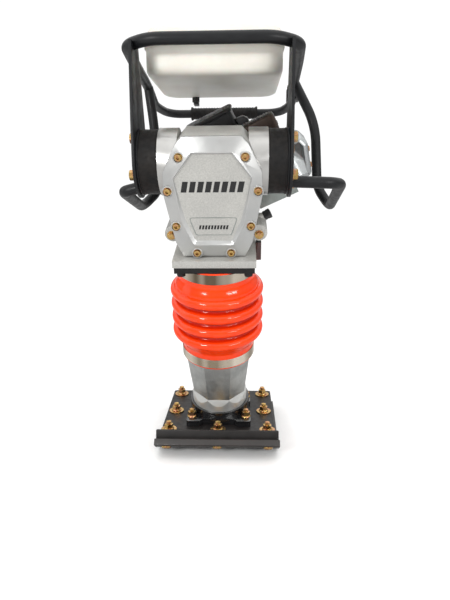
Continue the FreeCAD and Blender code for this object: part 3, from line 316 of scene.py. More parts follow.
    def grain(self, tree: Tree, place: Socket) -> Socket:
        """The height pattern of the finish.

        Args:
            tree: The material's node tree.
            place: The object coordinates.

        Returns:
            A 0 to 1 value.
        """
        scale = 1000 / self.grain_mm
        if self.lay in LAY_AXES:
            along = add(tree, "ShaderNodeVectorMath", {0: place, 1: LAY_AXES[self.lay]},
                        operation="DOT_PRODUCT")
            return add(tree, "ShaderNodeTexNoise", {"W": along.outputs["Value"], "Scale": scale,
                                                    "Detail": 3.0}, noise_dimensions="1D").outputs["Fac"]
        if self.lay is Lay.UPRIGHT:
            turned = add(tree, "ShaderNodeMapping", {"Vector": place, "Rotation": (-LEAN_ANGLE, 0, 0),
                                                     "Scale": (1, 1, 16)}, vector_type="TEXTURE")
            place = turned.outputs[0]
        return add(tree, "ShaderNodeTexNoise", {"Vector": place, "Scale": scale, "Detail": 3.0,
                                                "Roughness": 0.55}).outputs["Fac"]


# Sand-cast aluminium under silver lacquer: pale grey with a fine sparkle of sand grain.
SILVER_LACQUER = Finish("sand_cast_silver_lacquer", "#B9B8B3", "#B0AFAB", 0.45, (0.4, 0.5), 2.3, 0.05,
                        speckle=0.13, drift_mix=0.6)
# The same lacquer over the smooth rim of the cover: no grain, so it shines more.
RIM_LACQUER = Finish("smooth_silver_lacquer", "#BCBCBA", "#B0B1B0", 0.75, (0.36, 0.44), 3.0, 0.004,
                     drift_mix=0.6)
# Raw gravity-cast aluminium, fettled with a belt: grey, with soft upright streaks.
CAST_ALUMINIUM = Finish("fettled_cast_aluminium", "#B8BAB7", "#9C9E9C", 0.9, (0.32, 0.46), 2.6, 0.05,
                        drift_mm=45.0, drift_mix=0.8, speckle=0.06, lay=Lay.UPRIGHT)
# Lathe-turned aluminium: bright, with fine rings about the leg, about the mounts or about the crank.
TURNED_LEG = Finish("turned_aluminium_collar", "#DADBD8", "#C4C6C4", 0.75, (0.34, 0.46), 0.9, 0.02,
                    lay=Lay.LEG)
TURNED_SIDE = Finish("turned_aluminium_boss", "#C2C1BE", "#AEADAA", 1.0, (0.28, 0.38), 0.9, 0.012,
                     lay=Lay.SIDE)
TURNED_DEPTH = Finish("turned_aluminium_face", "#CFCECB", "#BDBCB8", 1.0, (0.2, 0.3), 0.9, 0.03,
                      lay=Lay.DEPTH)
# Cold-rolled stainless strip: mirror-like with faint rolling lines round the band, and broad dark bars of
# painted reflection.
STAINLESS = Finish("rolled_stainless_strip", "#CDC3B3", "#B9AE9C", 1.0, (0.14, 0.24), 0.7, 0.008,
                   lay=Lay.LEG, sweep="#6B5F4F")
# The same steel for the lower band, painted paler as if lit more brightly, with paler bars of painted
# reflection.
LIGHTER_LIT_STAINLESS = Finish("stainless_strip_painted_lighter", "#E6DCCB", "#D6CCBA", 0.9, (0.16, 0.26), 0.7, 0.008,
                        lay=Lay.LEG, sweep="#998C78")
# Cast polyurethane: glossy orange-red, smooth, with a trace of depth; its grooves carry painted shade.
POLYURETHANE = Finish("cast_polyurethane", "#FC440E", "#F53A08", 0.0, (0.09, 0.15), 5.0, 0.02, drift_mix=0.7,
                      ior=1.43, soft=0.03, groove_shade="#BE1A02")
# Gloss black enamel over cast iron: mirror highlights broken by the casting's skin.
BLACK_ENAMEL = Finish("black_enamel_on_iron", "#0E0E0F", "#17171A", 0.0, (0.14, 0.3), 3.2, 0.10, coat=0.5,
                      ior=1.52)
# Rough iron flange brushed with black paint: thick, lumpy and half matt.
BRUSHED_BLACK = Finish("brush_painted_iron", "#0C0B0A", "#161312", 0.0, (0.45, 0.64), 2.6, 0.3, ior=1.42)
# Black paint on rolled steel plate, dusty brown where it has been handled.
PLATE_PAINT = Finish("painted_rolled_plate", "#24201E", "#302B28", 0.0, (0.3, 0.46), 3.0, 0.04, ior=1.5)
# Pressed wood-fibre board, dark brown-black, satin.
FIBRE_BOARD = Finish("pressed_fibre_board", "#151211", "#211D1B", 0.0, (0.38, 0.52), 2.2, 0.04, drift_mm=35.0,
                     ior=1.42)
# Powder coat, charcoal: orange peel of a millimetre or two, satin.
POWDER_COAT = Finish("charcoal_powder_coat", "#111214", "#191A1C", 0.0, (0.38, 0.5), 1.8, 0.05, ior=1.38)
# Moulded natural rubber: matt, near black, with brown bloom.
MOULDED_RUBBER = Finish("moulded_rubber", "#0A0909", "#191512", 0.0, (0.5, 0.72), 2.0, 0.05, drift_mm=30.0,
                        drift_mix=0.9, ior=1.36)
# Yellow zinc plate: gold that drifts to pink and to straw.
YELLOW_ZINC = Finish("yellow_zinc_plate", "#C2A468", "#A88549", 1.0, (0.2, 0.34), 3.0, 0.02, drift_mm=14.0,
                     tint="#BE8468")
# Injection-moulded nylon, black, with a fine spark-eroded texture.
NYLON = Finish("textured_black_nylon", "#141415", "#1E1E20", 0.0, (0.42, 0.56), 0.9, 0.05, ior=1.53)
# Tank moulded in natural high-density polyethylene: milky, waxy, a little see-through.
POLYETHYLENE = Finish("blown_polyethylene", "#ECE9E0", "#DDD8CB", 0.0, (0.34, 0.46), 1.6, 0.05, drift_mm=90.0,
                      ior=1.51, soft=0.15)
# Die-cast engine aluminium: grey-green, fine-grained.
DIE_CAST = Finish("die_cast_engine_aluminium", "#9AA19D", "#868E8A", 0.8, (0.36, 0.5), 1.3, 0.08,
                  speckle=0.07)
# Bare bright casting of the valve cover.
BRIGHT_CAST = Finish("vibratory_polished_casting", "#B6B9B9", "#A3A7A6", 0.85, (0.32, 0.44), 2.0, 0.03,
                     speckle=0.07)
# Stove paint on pressed sheet: black, semi-gloss.
STOVE_BLACK = Finish("stove_black_sheet", "#17181A", "#212225", 0.0, (0.3, 0.44), 1.8, 0.05, ior=1.5)
# Machined steel with a film of oil.
OILED_STEEL = Finish("oiled_machined_steel", "#9C9C99", "#82827F", 1.0, (0.2, 0.36), 1.2, 0.02)
# Heat-blued and rusted exhaust sheet.
HOT_SHEET = Finish("heat_tinted_sheet", "#3A3432", "#57463B", 0.7, (0.4, 0.6), 2.0, 0.08, drift_mm=30.0)
BRONZE = Finish("sintered_bronze", "#B5803F", "#9A6A33", 1.0, (0.3, 0.45), 0.8, 0.04)
GASKET = Finish("gasket_paper", "#4A4A44", "#5A594F", 0.0, (0.7, 0.85), 1.0, 0.05)
# Acrylic sight glass over dark oil.
SIGHT_GLASS = Finish("oil_filled_sight_glass", "#3A120E", "#54201A", 0.0, (0.08, 0.16), 4.0, 0.01, coat=0.6,
                     ior=1.49)
# Screen-printed black ink, satin.
PRINT_INK = Finish("screen_print_ink", "#101011", "#18181A", 0.0, (0.35, 0.5), 1.2, 0.02, ior=1.5)
# White sprayed concrete floor of a studio.
FLOOR_PAINT = Finish("studio_floor_paint", "#F4F4F3", "#F0F0EF", 0.0, (0.6, 0.75), 8.0, 0.02, ior=1.45)

SLOT_FINISH = {
    "black_paint": BLACK_ENAMEL, "black_powder": POWDER_COAT, "silver_paint": SILVER_LACQUER,
    "cast_aluminium": CAST_ALUMINIUM, "steel": OILED_STEEL,
    "stainless": STAINLESS, "yellow_zinc": YELLOW_ZINC, "orange_rubber": POLYURETHANE,
    "black_rubber": MOULDED_RUBBER, "board_wood": FIBRE_BOARD, "black_plastic": NYLON,
    "tank_plastic": POLYETHYLENE, "bronze": BRONZE, "gasket_paper": GASKET, "engine_grey": DIE_CAST,
    "engine_black": STOVE_BLACK, "gauge": SIGHT_GLASS,
}


# ---------------------------------------------------------------- meshes
def new_object(name: str, mesh: Mesh) -> Item:
    """Link a mesh to the scene under a name."""
    item = bpy.data.objects.new(name, mesh)
    bpy.context.scene.collection.objects.link(item)
    return item


def baked(item: Item) -> Mesh:
    """The evaluated mesh of an object, which is then removed.

    Args:
        item: An object with modifiers.

    Returns:
        A plain mesh with the modifiers applied.
    """
    bpy.context.view_layer.update()
    graph = bpy.context.evaluated_depsgraph_get()
    mesh = bpy.data.meshes.new_from_object(item.evaluated_get(graph))
    bpy.data.objects.remove(item)
    return mesh


def draft_mesh(bm: Draft, name: str) -> Mesh:
    """The mesh of a draft, which is then freed.

    Args:
        bm: The draft.
        name: The mesh's name.

    Returns:
        The new mesh.
    """
    mesh = bpy.data.meshes.new(name)
    bm.to_mesh(mesh)
    bm.free()
    return mesh


def clean(mesh: Mesh) -> Mesh:
    """Merge doubles, and turn the faces outward.

    Args:
        mesh: The mesh to change.

    Returns:
        The same mesh.
    """
    bm = bmesh.new()
    bm.from_mesh(mesh)
    bmesh.ops.remove_doubles(bm, verts=bm.verts, dist=MERGE)
    bmesh.ops.recalc_face_normals(bm, faces=bm.faces)
    bm.to_mesh(mesh)
    bm.free()
    return mesh


def joined(meshes: Sequence[Mesh]) -> Mesh:
    """Several meshes as one.

    Args:
        meshes: The meshes, in place.

    Returns:
        One mesh, with their materials in order of first use.
    """
    whole = bmesh.new()
    slots: list[bpy.types.Material] = []
    for mesh in meshes:
        index = []
        for material in mesh.materials:
            if material not in slots:
                slots.append(material)
            index.append(slots.index(material))
        start = len(whole.faces)
        whole.from_mesh(mesh)
        whole.faces.ensure_lookup_table()
        for face in whole.faces[start:]:
            face.material_index = index[face.material_index]
    result = draft_mesh(whole, "joined")
    for material in slots:
        result.materials.append(material)
    return result


def record_row(node: str) -> dict:
    """The record's entry of a CAD node."""
    return next(row for row in frame["record"]["subparts"] if row["node"] == node)


def body_name(node: str) -> str:
    """The body that a CAD node rides on."""
    return next(body for body, nodes in frame["record"]["behaviour"]["bodies"].items() if node in nodes)


def finish_piece(name: str, mesh: Mesh, node: str, sharp: float = 32.0, ride: bool = True) -> Item:
    """Put a finished mesh in the scene and tie it to the frame.

    Args:
        name: The piece's name.
        mesh: Its mesh, in place, with materials.
        node: The CAD node that it stands for.
        sharp: Edges over this angle stay sharp, in degrees.
        ride: False to leave the piece on no body.

    Returns:
        The piece.
    """
    mesh.polygons.foreach_set("use_smooth", [True] * len(mesh.polygons))
    mesh.set_sharp_from_angle(angle=math.radians(sharp))
    item = new_object(name, mesh)
    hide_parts(node)
    if ride:
        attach(item, body_name(node))
    LOG.info("%s: %d faces", name, len(mesh.polygons))
    return item


def softened(node: str, width_mm: float, finish: Finish, segments: int = 3, angle: float = 38.0) -> Mesh:
    """A merged copy of a CAD node with rounded edges.

    Args:
        node: The CAD node.
        width_mm: Width of the rounding.
        finish: The finish of the whole copy.
        segments: Steps of the rounding.
        angle: Edges over this angle are rounded, in degrees.

    Returns:
        The new mesh.
    """
    bm = bmesh.new()
    bm.from_mesh(frame["nodes"][node].data)
    bmesh.ops.remove_doubles(bm, verts=bm.verts, dist=COPY_MERGE)
    bmesh.ops.dissolve_degenerate(bm, edges=bm.edges, dist=COPY_MERGE)
    bmesh.ops.dissolve_limit(bm, angle_limit=math.radians(FLAT_ANGLE), verts=bm.verts, edges=bm.edges)
    mesh = draft_mesh(bm, node + "_copy")
    mesh.materials.append(finish.build())
    item = new_object(node + "_work", mesh)
    bevel = item.modifiers.new("Rounding", "BEVEL")
    bevel.width = width_mm * MM
    bevel.segments = segments
    bevel.limit_method = "ANGLE"
    bevel.angle_limit = math.radians(angle)
    return baked(item)


def place_copies(copies: Sequence[tuple[str, float, Finish]], suffix: str) -> None:
    """Make softened copies of CAD nodes into pieces.

    Args:
        copies: Node, width of the rounding in mm, and finish of each.
        suffix: What follows the node in the piece's name.
    """
    for node, width, finish in copies:
        finish_piece(node + suffix, softened(node, width, finish), node)


def painted(mesh: Mesh, finish: Finish, test: Callable[[Vector, Vector], bool]) -> Mesh:
    """Give the faces that pass a test another finish.

    Args:
        mesh: The mesh to change.
        finish: The other finish.
        test: Takes a face's centre and normal, in the leg frame.

    Returns:
        The same mesh.
    """
    back = leg_place().inverted()
    turn = back.to_3x3()
    mesh.materials.append(finish.build())
    index = len(mesh.materials) - 1
    for face in mesh.polygons:
        if test(back @ face.center, (turn @ face.normal).normalized()):
            face.material_index = index
    return mesh


# ---------------------------------------------------------------- geometry node trees
def new_tree(name: str, sockets: Sequence[tuple[str, str]]) -> Tree:
    """A geometry node tree with named inputs and one geometry output.

    Args:
        name: The tree's name.
        sockets: Label and kind of each input.

    Returns:
        The tree.
    """
    tree = bpy.data.node_groups.new(name, "GeometryNodeTree")
    for label, kind in sockets:
        tree.interface.new_socket(label, in_out="INPUT", socket_type="NodeSocket" + kind)
    tree.interface.new_socket("Geometry", in_out="OUTPUT", socket_type="NodeSocketGeometry")
    return tree


def finish_tree(tree: Tree, geometry: Socket, material: Socket) -> None:
    """End a tree in Realize Instances and Set Material.

    Args:
        tree: The tree.
        geometry: The socket with its result.
        material: The socket with its material.
    """
    real = add(tree, "GeometryNodeRealizeInstances", {"Geometry": geometry})
    dressed = add(tree, "GeometryNodeSetMaterial", {"Geometry": real.outputs[0], "Material": material})
    add(tree, "NodeGroupOutput", {"Geometry": dressed.outputs[0]})


def turning_tree() -> Tree:
    """A tree that turns a chain of points, given in the XZ plane, about Z.

    Returns:
        The tree, made once.
    """
    if "Turning" in bpy.data.node_groups:
        return bpy.data.node_groups["Turning"]
    tree = new_tree("Turning", [("Profile", "Geometry"), ("Steps", "Int"), ("Finish", "Material")])
    given = add(tree, "NodeGroupInput")
    count = add(tree, "GeometryNodeAttributeDomainSize", {"Geometry": given.outputs["Profile"]}).outputs[0]
    columns = add(tree, "ShaderNodeMath", {0: given.outputs["Steps"], 1: 1.0}, operation="ADD")
    grid = add(tree, "GeometryNodeMeshGrid", {"Vertices X": columns.outputs[0], "Vertices Y": count})
    index = add(tree, "GeometryNodeInputIndex").outputs[0]
    row = add(tree, "ShaderNodeMath", {0: index, 1: count}, operation="FLOORED_MODULO")
    ratio = add(tree, "ShaderNodeMath", {0: index, 1: count}, operation="DIVIDE")
    column = add(tree, "ShaderNodeMath", {0: ratio.outputs[0]}, operation="FLOOR")
    place = add(tree, "GeometryNodeInputPosition").outputs[0]
    sample = add(tree, "GeometryNodeSampleIndex", {"Geometry": given.outputs["Profile"], "Value": place,
                                                   "Index": row.outputs[0]}, data_type="FLOAT_VECTOR")
    share = add(tree, "ShaderNodeMath", {0: column.outputs[0], 1: given.outputs["Steps"]}, operation="DIVIDE")
    angle = add(tree, "ShaderNodeMath", {0: share.outputs[0], 1: 2 * math.pi}, operation="MULTIPLY")
    spun = add(tree, "ShaderNodeVectorRotate", {"Vector": sample.outputs["Value"], "Angle": angle.outputs[0]},
               rotation_type="Z_AXIS")
    moved = add(tree, "GeometryNodeSetPosition", {"Geometry": grid.outputs["Mesh"],
                                                  "Position": spun.outputs[0]})
    merged = add(tree, "GeometryNodeMergeByDistance", {"Geometry": moved.outputs[0], "Distance": MERGE})
    finish_tree(tree, merged.outputs[0], given.outputs["Finish"])
    return tree


def scatter_tree() -> Tree:
    """A tree that stands a part on points, along their axis attribute, at a random turn.

    Returns:
        The tree, made once.
    """
    if "Scatter" in bpy.data.node_groups:
        return bpy.data.node_groups["Scatter"]
    tree = new_tree("Scatter", [("Points", "Geometry"), ("Part", "Object"), ("Turn", "Float"),
                                ("Seed", "Int"), ("Finish", "Material")])
    given = add(tree, "NodeGroupInput")
    part = add(tree, "GeometryNodeObjectInfo", {"Object": given.outputs["Part"]}, transform_space="ORIGINAL")
    axis = add(tree, "GeometryNodeInputNamedAttribute", {"Name": "axis"}, data_type="FLOAT_VECTOR")
    stand = add(tree, "FunctionNodeAlignRotationToVector", {"Vector": axis.outputs[0]}, axis="Z")
    copies = add(tree, "GeometryNodeInstanceOnPoints", {"Points": given.outputs["Points"],
                                                        "Instance": part.outputs["Geometry"],
                                                        "Rotation": stand.outputs[0]})
    turn = add(tree, "FunctionNodeRandomValue", {3: given.outputs["Turn"], "Seed": given.outputs["Seed"]},
               data_type="FLOAT")
    about = add(tree, "ShaderNodeCombineXYZ", {"Z": turn.outputs[1]})
    turned = add(tree, "GeometryNodeRotateInstances", {"Instances": copies.outputs[0], "Local Space": True,
                                                       "Rotation": about.outputs[0]})
    finish_tree(tree, turned.outputs[0], given.outputs["Finish"])
    return tree


def run_tree(item: Item, tree: Tree, values: dict) -> Mesh:
    """Run a tree on an object and bake it.

    Args:
        item: The object whose mesh feeds the tree.
        tree: The tree.
        values: Input label to value.

    Returns:
        The baked mesh.
    """
    modifier = item.modifiers.new(tree.name, "NODES")
    modifier.node_group = tree
    for socket in tree.interface.items_tree:
        if socket.in_out == "INPUT" and socket.name in values:
            modifier[socket.identifier] = values[socket.name]
    return baked(item)


def turned_mesh(profile: Sequence[Point2], finish: Finish, place: Matrix, steps: int = 96) -> Mesh:
    """A solid of revolution.

    Args:
        profile: (radius, height) points in mm; it ends at the axis or where it starts.
        finish: Its finish.
        place: Millimetres to the row frame; the axis is local Z.
        steps: Divisions round the axis.

    Returns:
        The mesh, in place.
    """
    line = bpy.data.meshes.new("profile")
    line.from_pydata([(r, 0.0, h) for r, h in profile], [(i, i + 1) for i in range(len(profile) - 1)], [])
    mesh = run_tree(new_object("turning", line), turning_tree(), {"Steps": steps, "Finish": finish.build()})
    mesh.transform(place)
    return clean(mesh)


def scattered(part: Mesh, spots: Sequence[Spot], finish: Finish, turn: float = 0.0,
              seed: int = 1) -> Mesh:
    """Copies of a part at spots.

    Args:
        part: The part in metres, standing on local Z from its origin.
        spots: Position and axis of each, in the row frame.
        finish: The finish of all.
        turn: Largest random turn about the axis, in radians.
        seed: Seed of the turns.

    Returns:
        One mesh with every copy.
    """
    cloud = bpy.data.meshes.new("spots")
    cloud.from_pydata([tuple(place) for place, _ in spots], [], [])
    axes = cloud.attributes.new("axis", "FLOAT_VECTOR", "POINT")
    axes.data.foreach_set("vector", [value for _, axis in spots for value in axis.normalized()])
    template = new_object("template", part)
    mesh = run_tree(new_object("cloud", cloud), scatter_tree(),
                    {"Part": template, "Turn": turn, "Seed": seed, "Finish": finish.build()})
    bpy.data.objects.remove(template)
    return mesh


def rounded_profile(points: Sequence[Point2], radius: float) -> list[Point2]:
    """Round the inner corners of a chain of points.

    Args:
        points: The corners.
        radius: Radius of each corner, cut down where the runs are short.

    Returns:
        The rounded chain.
    """
    chain = [points[0]]
    for before, corner, after in zip(points, points[1:], points[2:]):
        here = Vector(corner)
        inward = Vector(before) - here
        outward = Vector(after) - here
        if min(inward.length, outward.length) < MERGE:
            continue
        half = inward.angle(outward) / 2
        reach = min(radius / max(math.tan(half), 1e-3), inward.length * 0.45, outward.length * 0.45)
        start = here + inward.normalized() * reach
        end = here + outward.normalized() * reach
        for i in range(PROFILE_CORNER_STEPS + 1):
            t = i / PROFILE_CORNER_STEPS
            spot = start.lerp(here, t).lerp(here.lerp(end, t), t)
            chain.append((spot.x, spot.y))
    chain.append(points[-1])
    return chain


def strip(bm: Draft, low: Sequence[bmesh.types.BMVert], high: Sequence[bmesh.types.BMVert]) -> None:
    """A strip of quads between two rings.

    Args:
        bm: The draft that holds them.
        low: One closed ring of points.
        high: The other, with as many.
    """
    for i in range(len(low)):
        j = (i + 1) % len(low)
        bm.faces.new((low[i], low[j], high[j], high[i]))


def skinned(loops: Sequence[Sequence[Point3]], ring: bool = False) -> Draft:
    """A closed skin through loops of equally many points.

    Args:
        loops: Closed loops, from one end to the other.
        ring: True to join the last loop to the first, in place of closing both ends.

    Returns:
        The draft.
    """
    bm = bmesh.new()
    rings = [[bm.verts.new(point) for point in loop] for loop in loops]
    for low, high in zip(rings, rings[1:]):
        strip(bm, low, high)
    if ring:
        strip(bm, rings[-1], rings[0])
    else:
        bm.faces.new(list(reversed(rings[0])))
        bm.faces.new(rings[-1])
    return bm


def hexagon_part(flats: float, height: float, base: float = 0.0) -> Draft:
    """A hexagon with a cone-cut top, in mm, standing on local Z.

    Args:
        flats: Width across the flats.
        height: Height.
        base: Height of its underside.

    Returns:
        The closed draft.
    """
    crown = flats / 2 * 0.97
    loops: list[list[Point3]] = [[], [], [], []]
    for i in range(HEXAGON_STEPS):
        angle = 2 * math.pi * i / HEXAGON_STEPS
        corner = (angle + math.pi / 6) % (math.pi / 3) - math.pi / 6
        radius = flats / 2 / math.cos(corner)
        side = height - max(0.0, radius - crown) * 0.5
        levels = ((radius * 0.995, 0.0), (radius, 0.0), (radius, side), (crown, height))
        for loop, (reach, z) in zip(loops, levels):
            loop.append((reach * math.cos(angle), reach * math.sin(angle), base + z))
    return skinned(loops)


def part_mesh(*pieces: Draft) -> Mesh:
    """Pieces drawn in mm as one mesh in metres.

    Args:
        pieces: The drafts, which are freed.

    Returns:
        The mesh.
    """
    whole = bmesh.new()
    for piece in pieces:
        step = draft_mesh(piece, "step")
        whole.from_mesh(step)
        bpy.data.meshes.remove(step)
    bmesh.ops.scale(whole, vec=(MM, MM, MM), verts=whole.verts)
    return draft_mesh(whole, "part")


def turned_part(profile: Sequence[Point2], steps: int = 32) -> Draft:
    """A small solid of revolution in mm, for a fastener.

    Args:
        profile: (radius, height) points in mm.
        steps: Divisions round the axis.

    Returns:
        The closed draft.
    """
    bm = bmesh.new()
    mesh = turned_mesh(profile, YELLOW_ZINC, Matrix.Identity(4), steps)
    bm.from_mesh(mesh)
    bmesh.ops.remove_doubles(bm, verts=bm.verts, dist=PART_MERGE)
    bmesh.ops.recalc_face_normals(bm, faces=bm.faces)
    bpy.data.meshes.remove(mesh)
    return bm


def stud_profile(radius: float, top: float, threads: int, base: float) -> list[Point2]:
    """A threaded stud end with a domed tip.

    Args:
        radius: Radius over the threads, in mm.
        top: Height of the tip.
        threads: How many threads show.
        base: Height of the lower end.

    Returns:
        The profile, from the axis down to its base.
    """
    line = [(0.0, top), (radius * 0.55, top - 0.25), (radius - 1.1, top - 1.1)]
    for i in range(threads):
        z = top - 1.4 - THREAD_PITCH * i
        line += [(radius, z), (radius, z - THREAD_PITCH * 0.3), (radius - 0.75, z - THREAD_PITCH * 0.65)]
    line += [(radius - 0.75, base), (0.0, base)]
    return line


def washer_part(outer: float, inner: float, thick: float) -> Draft:
    """A flat washer with rolled edges.

    Args:
        outer: Outer radius, in mm.
        inner: Radius of the hole.
        thick: Thickness.

    Returns:
        The draft, standing on local Z.
    """
    edge = min(0.5, thick * 0.3)
    corners = [(inner, edge), (inner, thick), (outer - edge, thick), (outer, thick - edge), (outer, edge),
               (outer - edge, 0.0), (inner, 0.0), (inner, edge)]
    return turned_part(corners, 48)


def lofted(loops: Sequence[Sequence[Point3]], finish: Finish, place: Matrix, ring: bool = False) -> Mesh:
    """A finished skin through loops of equally many points.

    Args:
        loops: Closed loops in mm, from one end to the other.
        finish: The finish of the skin.
        place: Millimetres to the row frame.
        ring: True to join the last loop to the first, in place of closing both ends.

    Returns:
        The mesh, in place.
    """
    mesh = draft_mesh(skinned(loops, ring), "loft")
    mesh.transform(place)
    mesh.materials.append(finish.build())
    return clean(mesh)


def rounded_box_loop(half_x: float, half_y: float, corner: float, z: float,
                     centre: Point2 = (0, 0)) -> list[Point3]:
    """A rectangle with round corners, as a loop of points at a height.

    Args:
        half_x: Half its width, in mm.
        half_y: Half its depth.
        corner: Radius of the corners.
        z: Height.
        centre: Its middle.

    Returns:
        The loop.
    """
    loop = []
    for quarter, (sx, sy) in enumerate(((1, 1), (-1, 1), (-1, -1), (1, -1))):
        for i in range(BOX_CORNER_STEPS + 1):
            angle = math.pi / 2 * (quarter + i / BOX_CORNER_STEPS)
            loop.append((centre[0] + sx * (half_x - corner) + corner * math.cos(angle),
                         centre[1] + sy * (half_y - corner) + corner * math.sin(angle), z))
    return loop


def stacked(rows: Sequence[Sequence[float]], finish: Finish, place: Matrix, centre: Point2 = (0, 0)) -> Mesh:
    """A skin through round-cornered rectangles one above the other.

    Args:
        rows: Half width, half depth, corner radius and height of each, in mm.
        finish: The finish of the skin.
        place: Millimetres to the row frame.
        centre: Their middle.

    Returns:
        The mesh, in place.
    """
    return lofted([rounded_box_loop(*row, centre) for row in rows], finish, place)


def combined(base: Mesh, other: Mesh, operation: str) -> Mesh:
    """Two closed meshes united, or one cut from the other.

    Args:
        base: The mesh to change.
        other: The mesh that is added or cut away.
        operation: UNION or DIFFERENCE.

    Returns:
        The result.
    """
    item = new_object("base", base)
    tool = new_object("tool", other)
    change = item.modifiers.new("Boolean", "BOOLEAN")
    change.operation = operation
    change.solver = "EXACT"
    change.object = tool
    mesh = baked(item)
    bpy.data.objects.remove(tool)
    return mesh


# ---------------------------------------------------------------- shoe
@dataclass
class Shoe:
    """Sole, board, washers, nuts and the black foot."""

    board_top: float = 47.0
    washer_radius: float = 18.5
    washer_thick: float = 3.0
    toe_radius: float = 158.6
    flat_front: float = 80.0
    toe_slope: float = 35.0
    ear_side: float = 65.5
    ear_rows: Point2 = (-73.0, 50.0)
    ear_top: float = 61.0
    rows: tuple = ((-121.8, (-115.6, 0.0, 115.6)), (-14.8, (-110.9, 110.9)), (97.8, (-110.6, 0.0, 110.6)))

    def spots(self, height: float) -> list[Spot]:
        """Where the board bolts stand, at a height in mm."""
        return [(Vector((x, y, height)) * MM, UP) for y, xs in self.rows for x in xs]

    def build(self) -> None:
        """Build every piece of the shoe."""
        finish_piece("sole", softened("sole_plate", 1.6, PLATE_PAINT), "sole_plate")
        finish_piece("board", softened("shoe_board", 1.8, FIBRE_BOARD), "shoe_board")
        finish_piece("foot", softened("foot_casting", 1.8, BLACK_ENAMEL), "foot_casting")
        self.build_fasteners()

    @staticmethod
    def nut_stack(flange: float, tip: float, threads: int) -> Mesh:
        """A flanged nut of 18 mm on its stud's end.

        Args:
            flange: Radius of the nut's flange, in mm.
            tip: Height of the stud's tip.
            threads: How many of its threads show.

        Returns:
            The mesh, standing on local Z.
        """
        skirt = turned_part([(0, 0), (flange - 0.6, 0), (flange, 0.6), (flange - 0.4, 1.6), (9.4, 3.2),
                             (0, 3.2)], 48)
        stud = turned_part(stud_profile(6.0, tip, threads, 5.0))
        return part_mesh(hexagon_part(18.0, 9.5, 3.0), skirt, stud)

    def build_fasteners(self) -> None:
        """Washers, nuts on studs, toe bolt heads and the foot's nuts."""
        ring = part_mesh(washer_part(self.washer_radius, 6.2, self.washer_thick))
        finish_piece("board_washer_set", scattered(ring, self.spots(self.board_top), YELLOW_ZINC),
                     "board_washers")
        seats = self.spots(self.board_top + self.washer_thick)
        nuts = scattered(self.nut_stack(12.0, 20.0, 4), seats, YELLOW_ZINC, 1.0, 3)
        dome = turned_part([(0, 4.0), (6.0, 3.9), (8.6, 3.2), (10.6, 1.4), (11.0, 0.0), (0, 0)], 40)
        heads = scattered(part_mesh(dome), self.toe_spots(), YELLOW_ZINC)
        finish_piece("board_nut_set", joined([nuts, heads]), "board_bolts")
        corners = [(Vector((side * self.ear_side, y, self.ear_top)) * MM, UP)
                   for side in SIDES for y in self.ear_rows]
        studs = scattered(self.nut_stack(11.8, 19.2, 3), corners, YELLOW_ZINC, 1.0, 5)
        finish_piece("foot_nut_set", studs, "foot_nuts")

    def toe_spots(self) -> list[Spot]:
        """Where the toe's bolt heads sit, and where they face.

        Returns:
            Position and axis of each.
        """
        slope = math.radians(self.toe_slope)
        y = -self.flat_front - self.toe_radius * math.sin(slope)
        z = self.toe_radius * (1 - math.cos(slope))
        down = Vector((0, -math.sin(slope), -math.cos(slope)))
        return [(Vector((x, y, z)) * MM, down) for x in self.rows[0][1]]


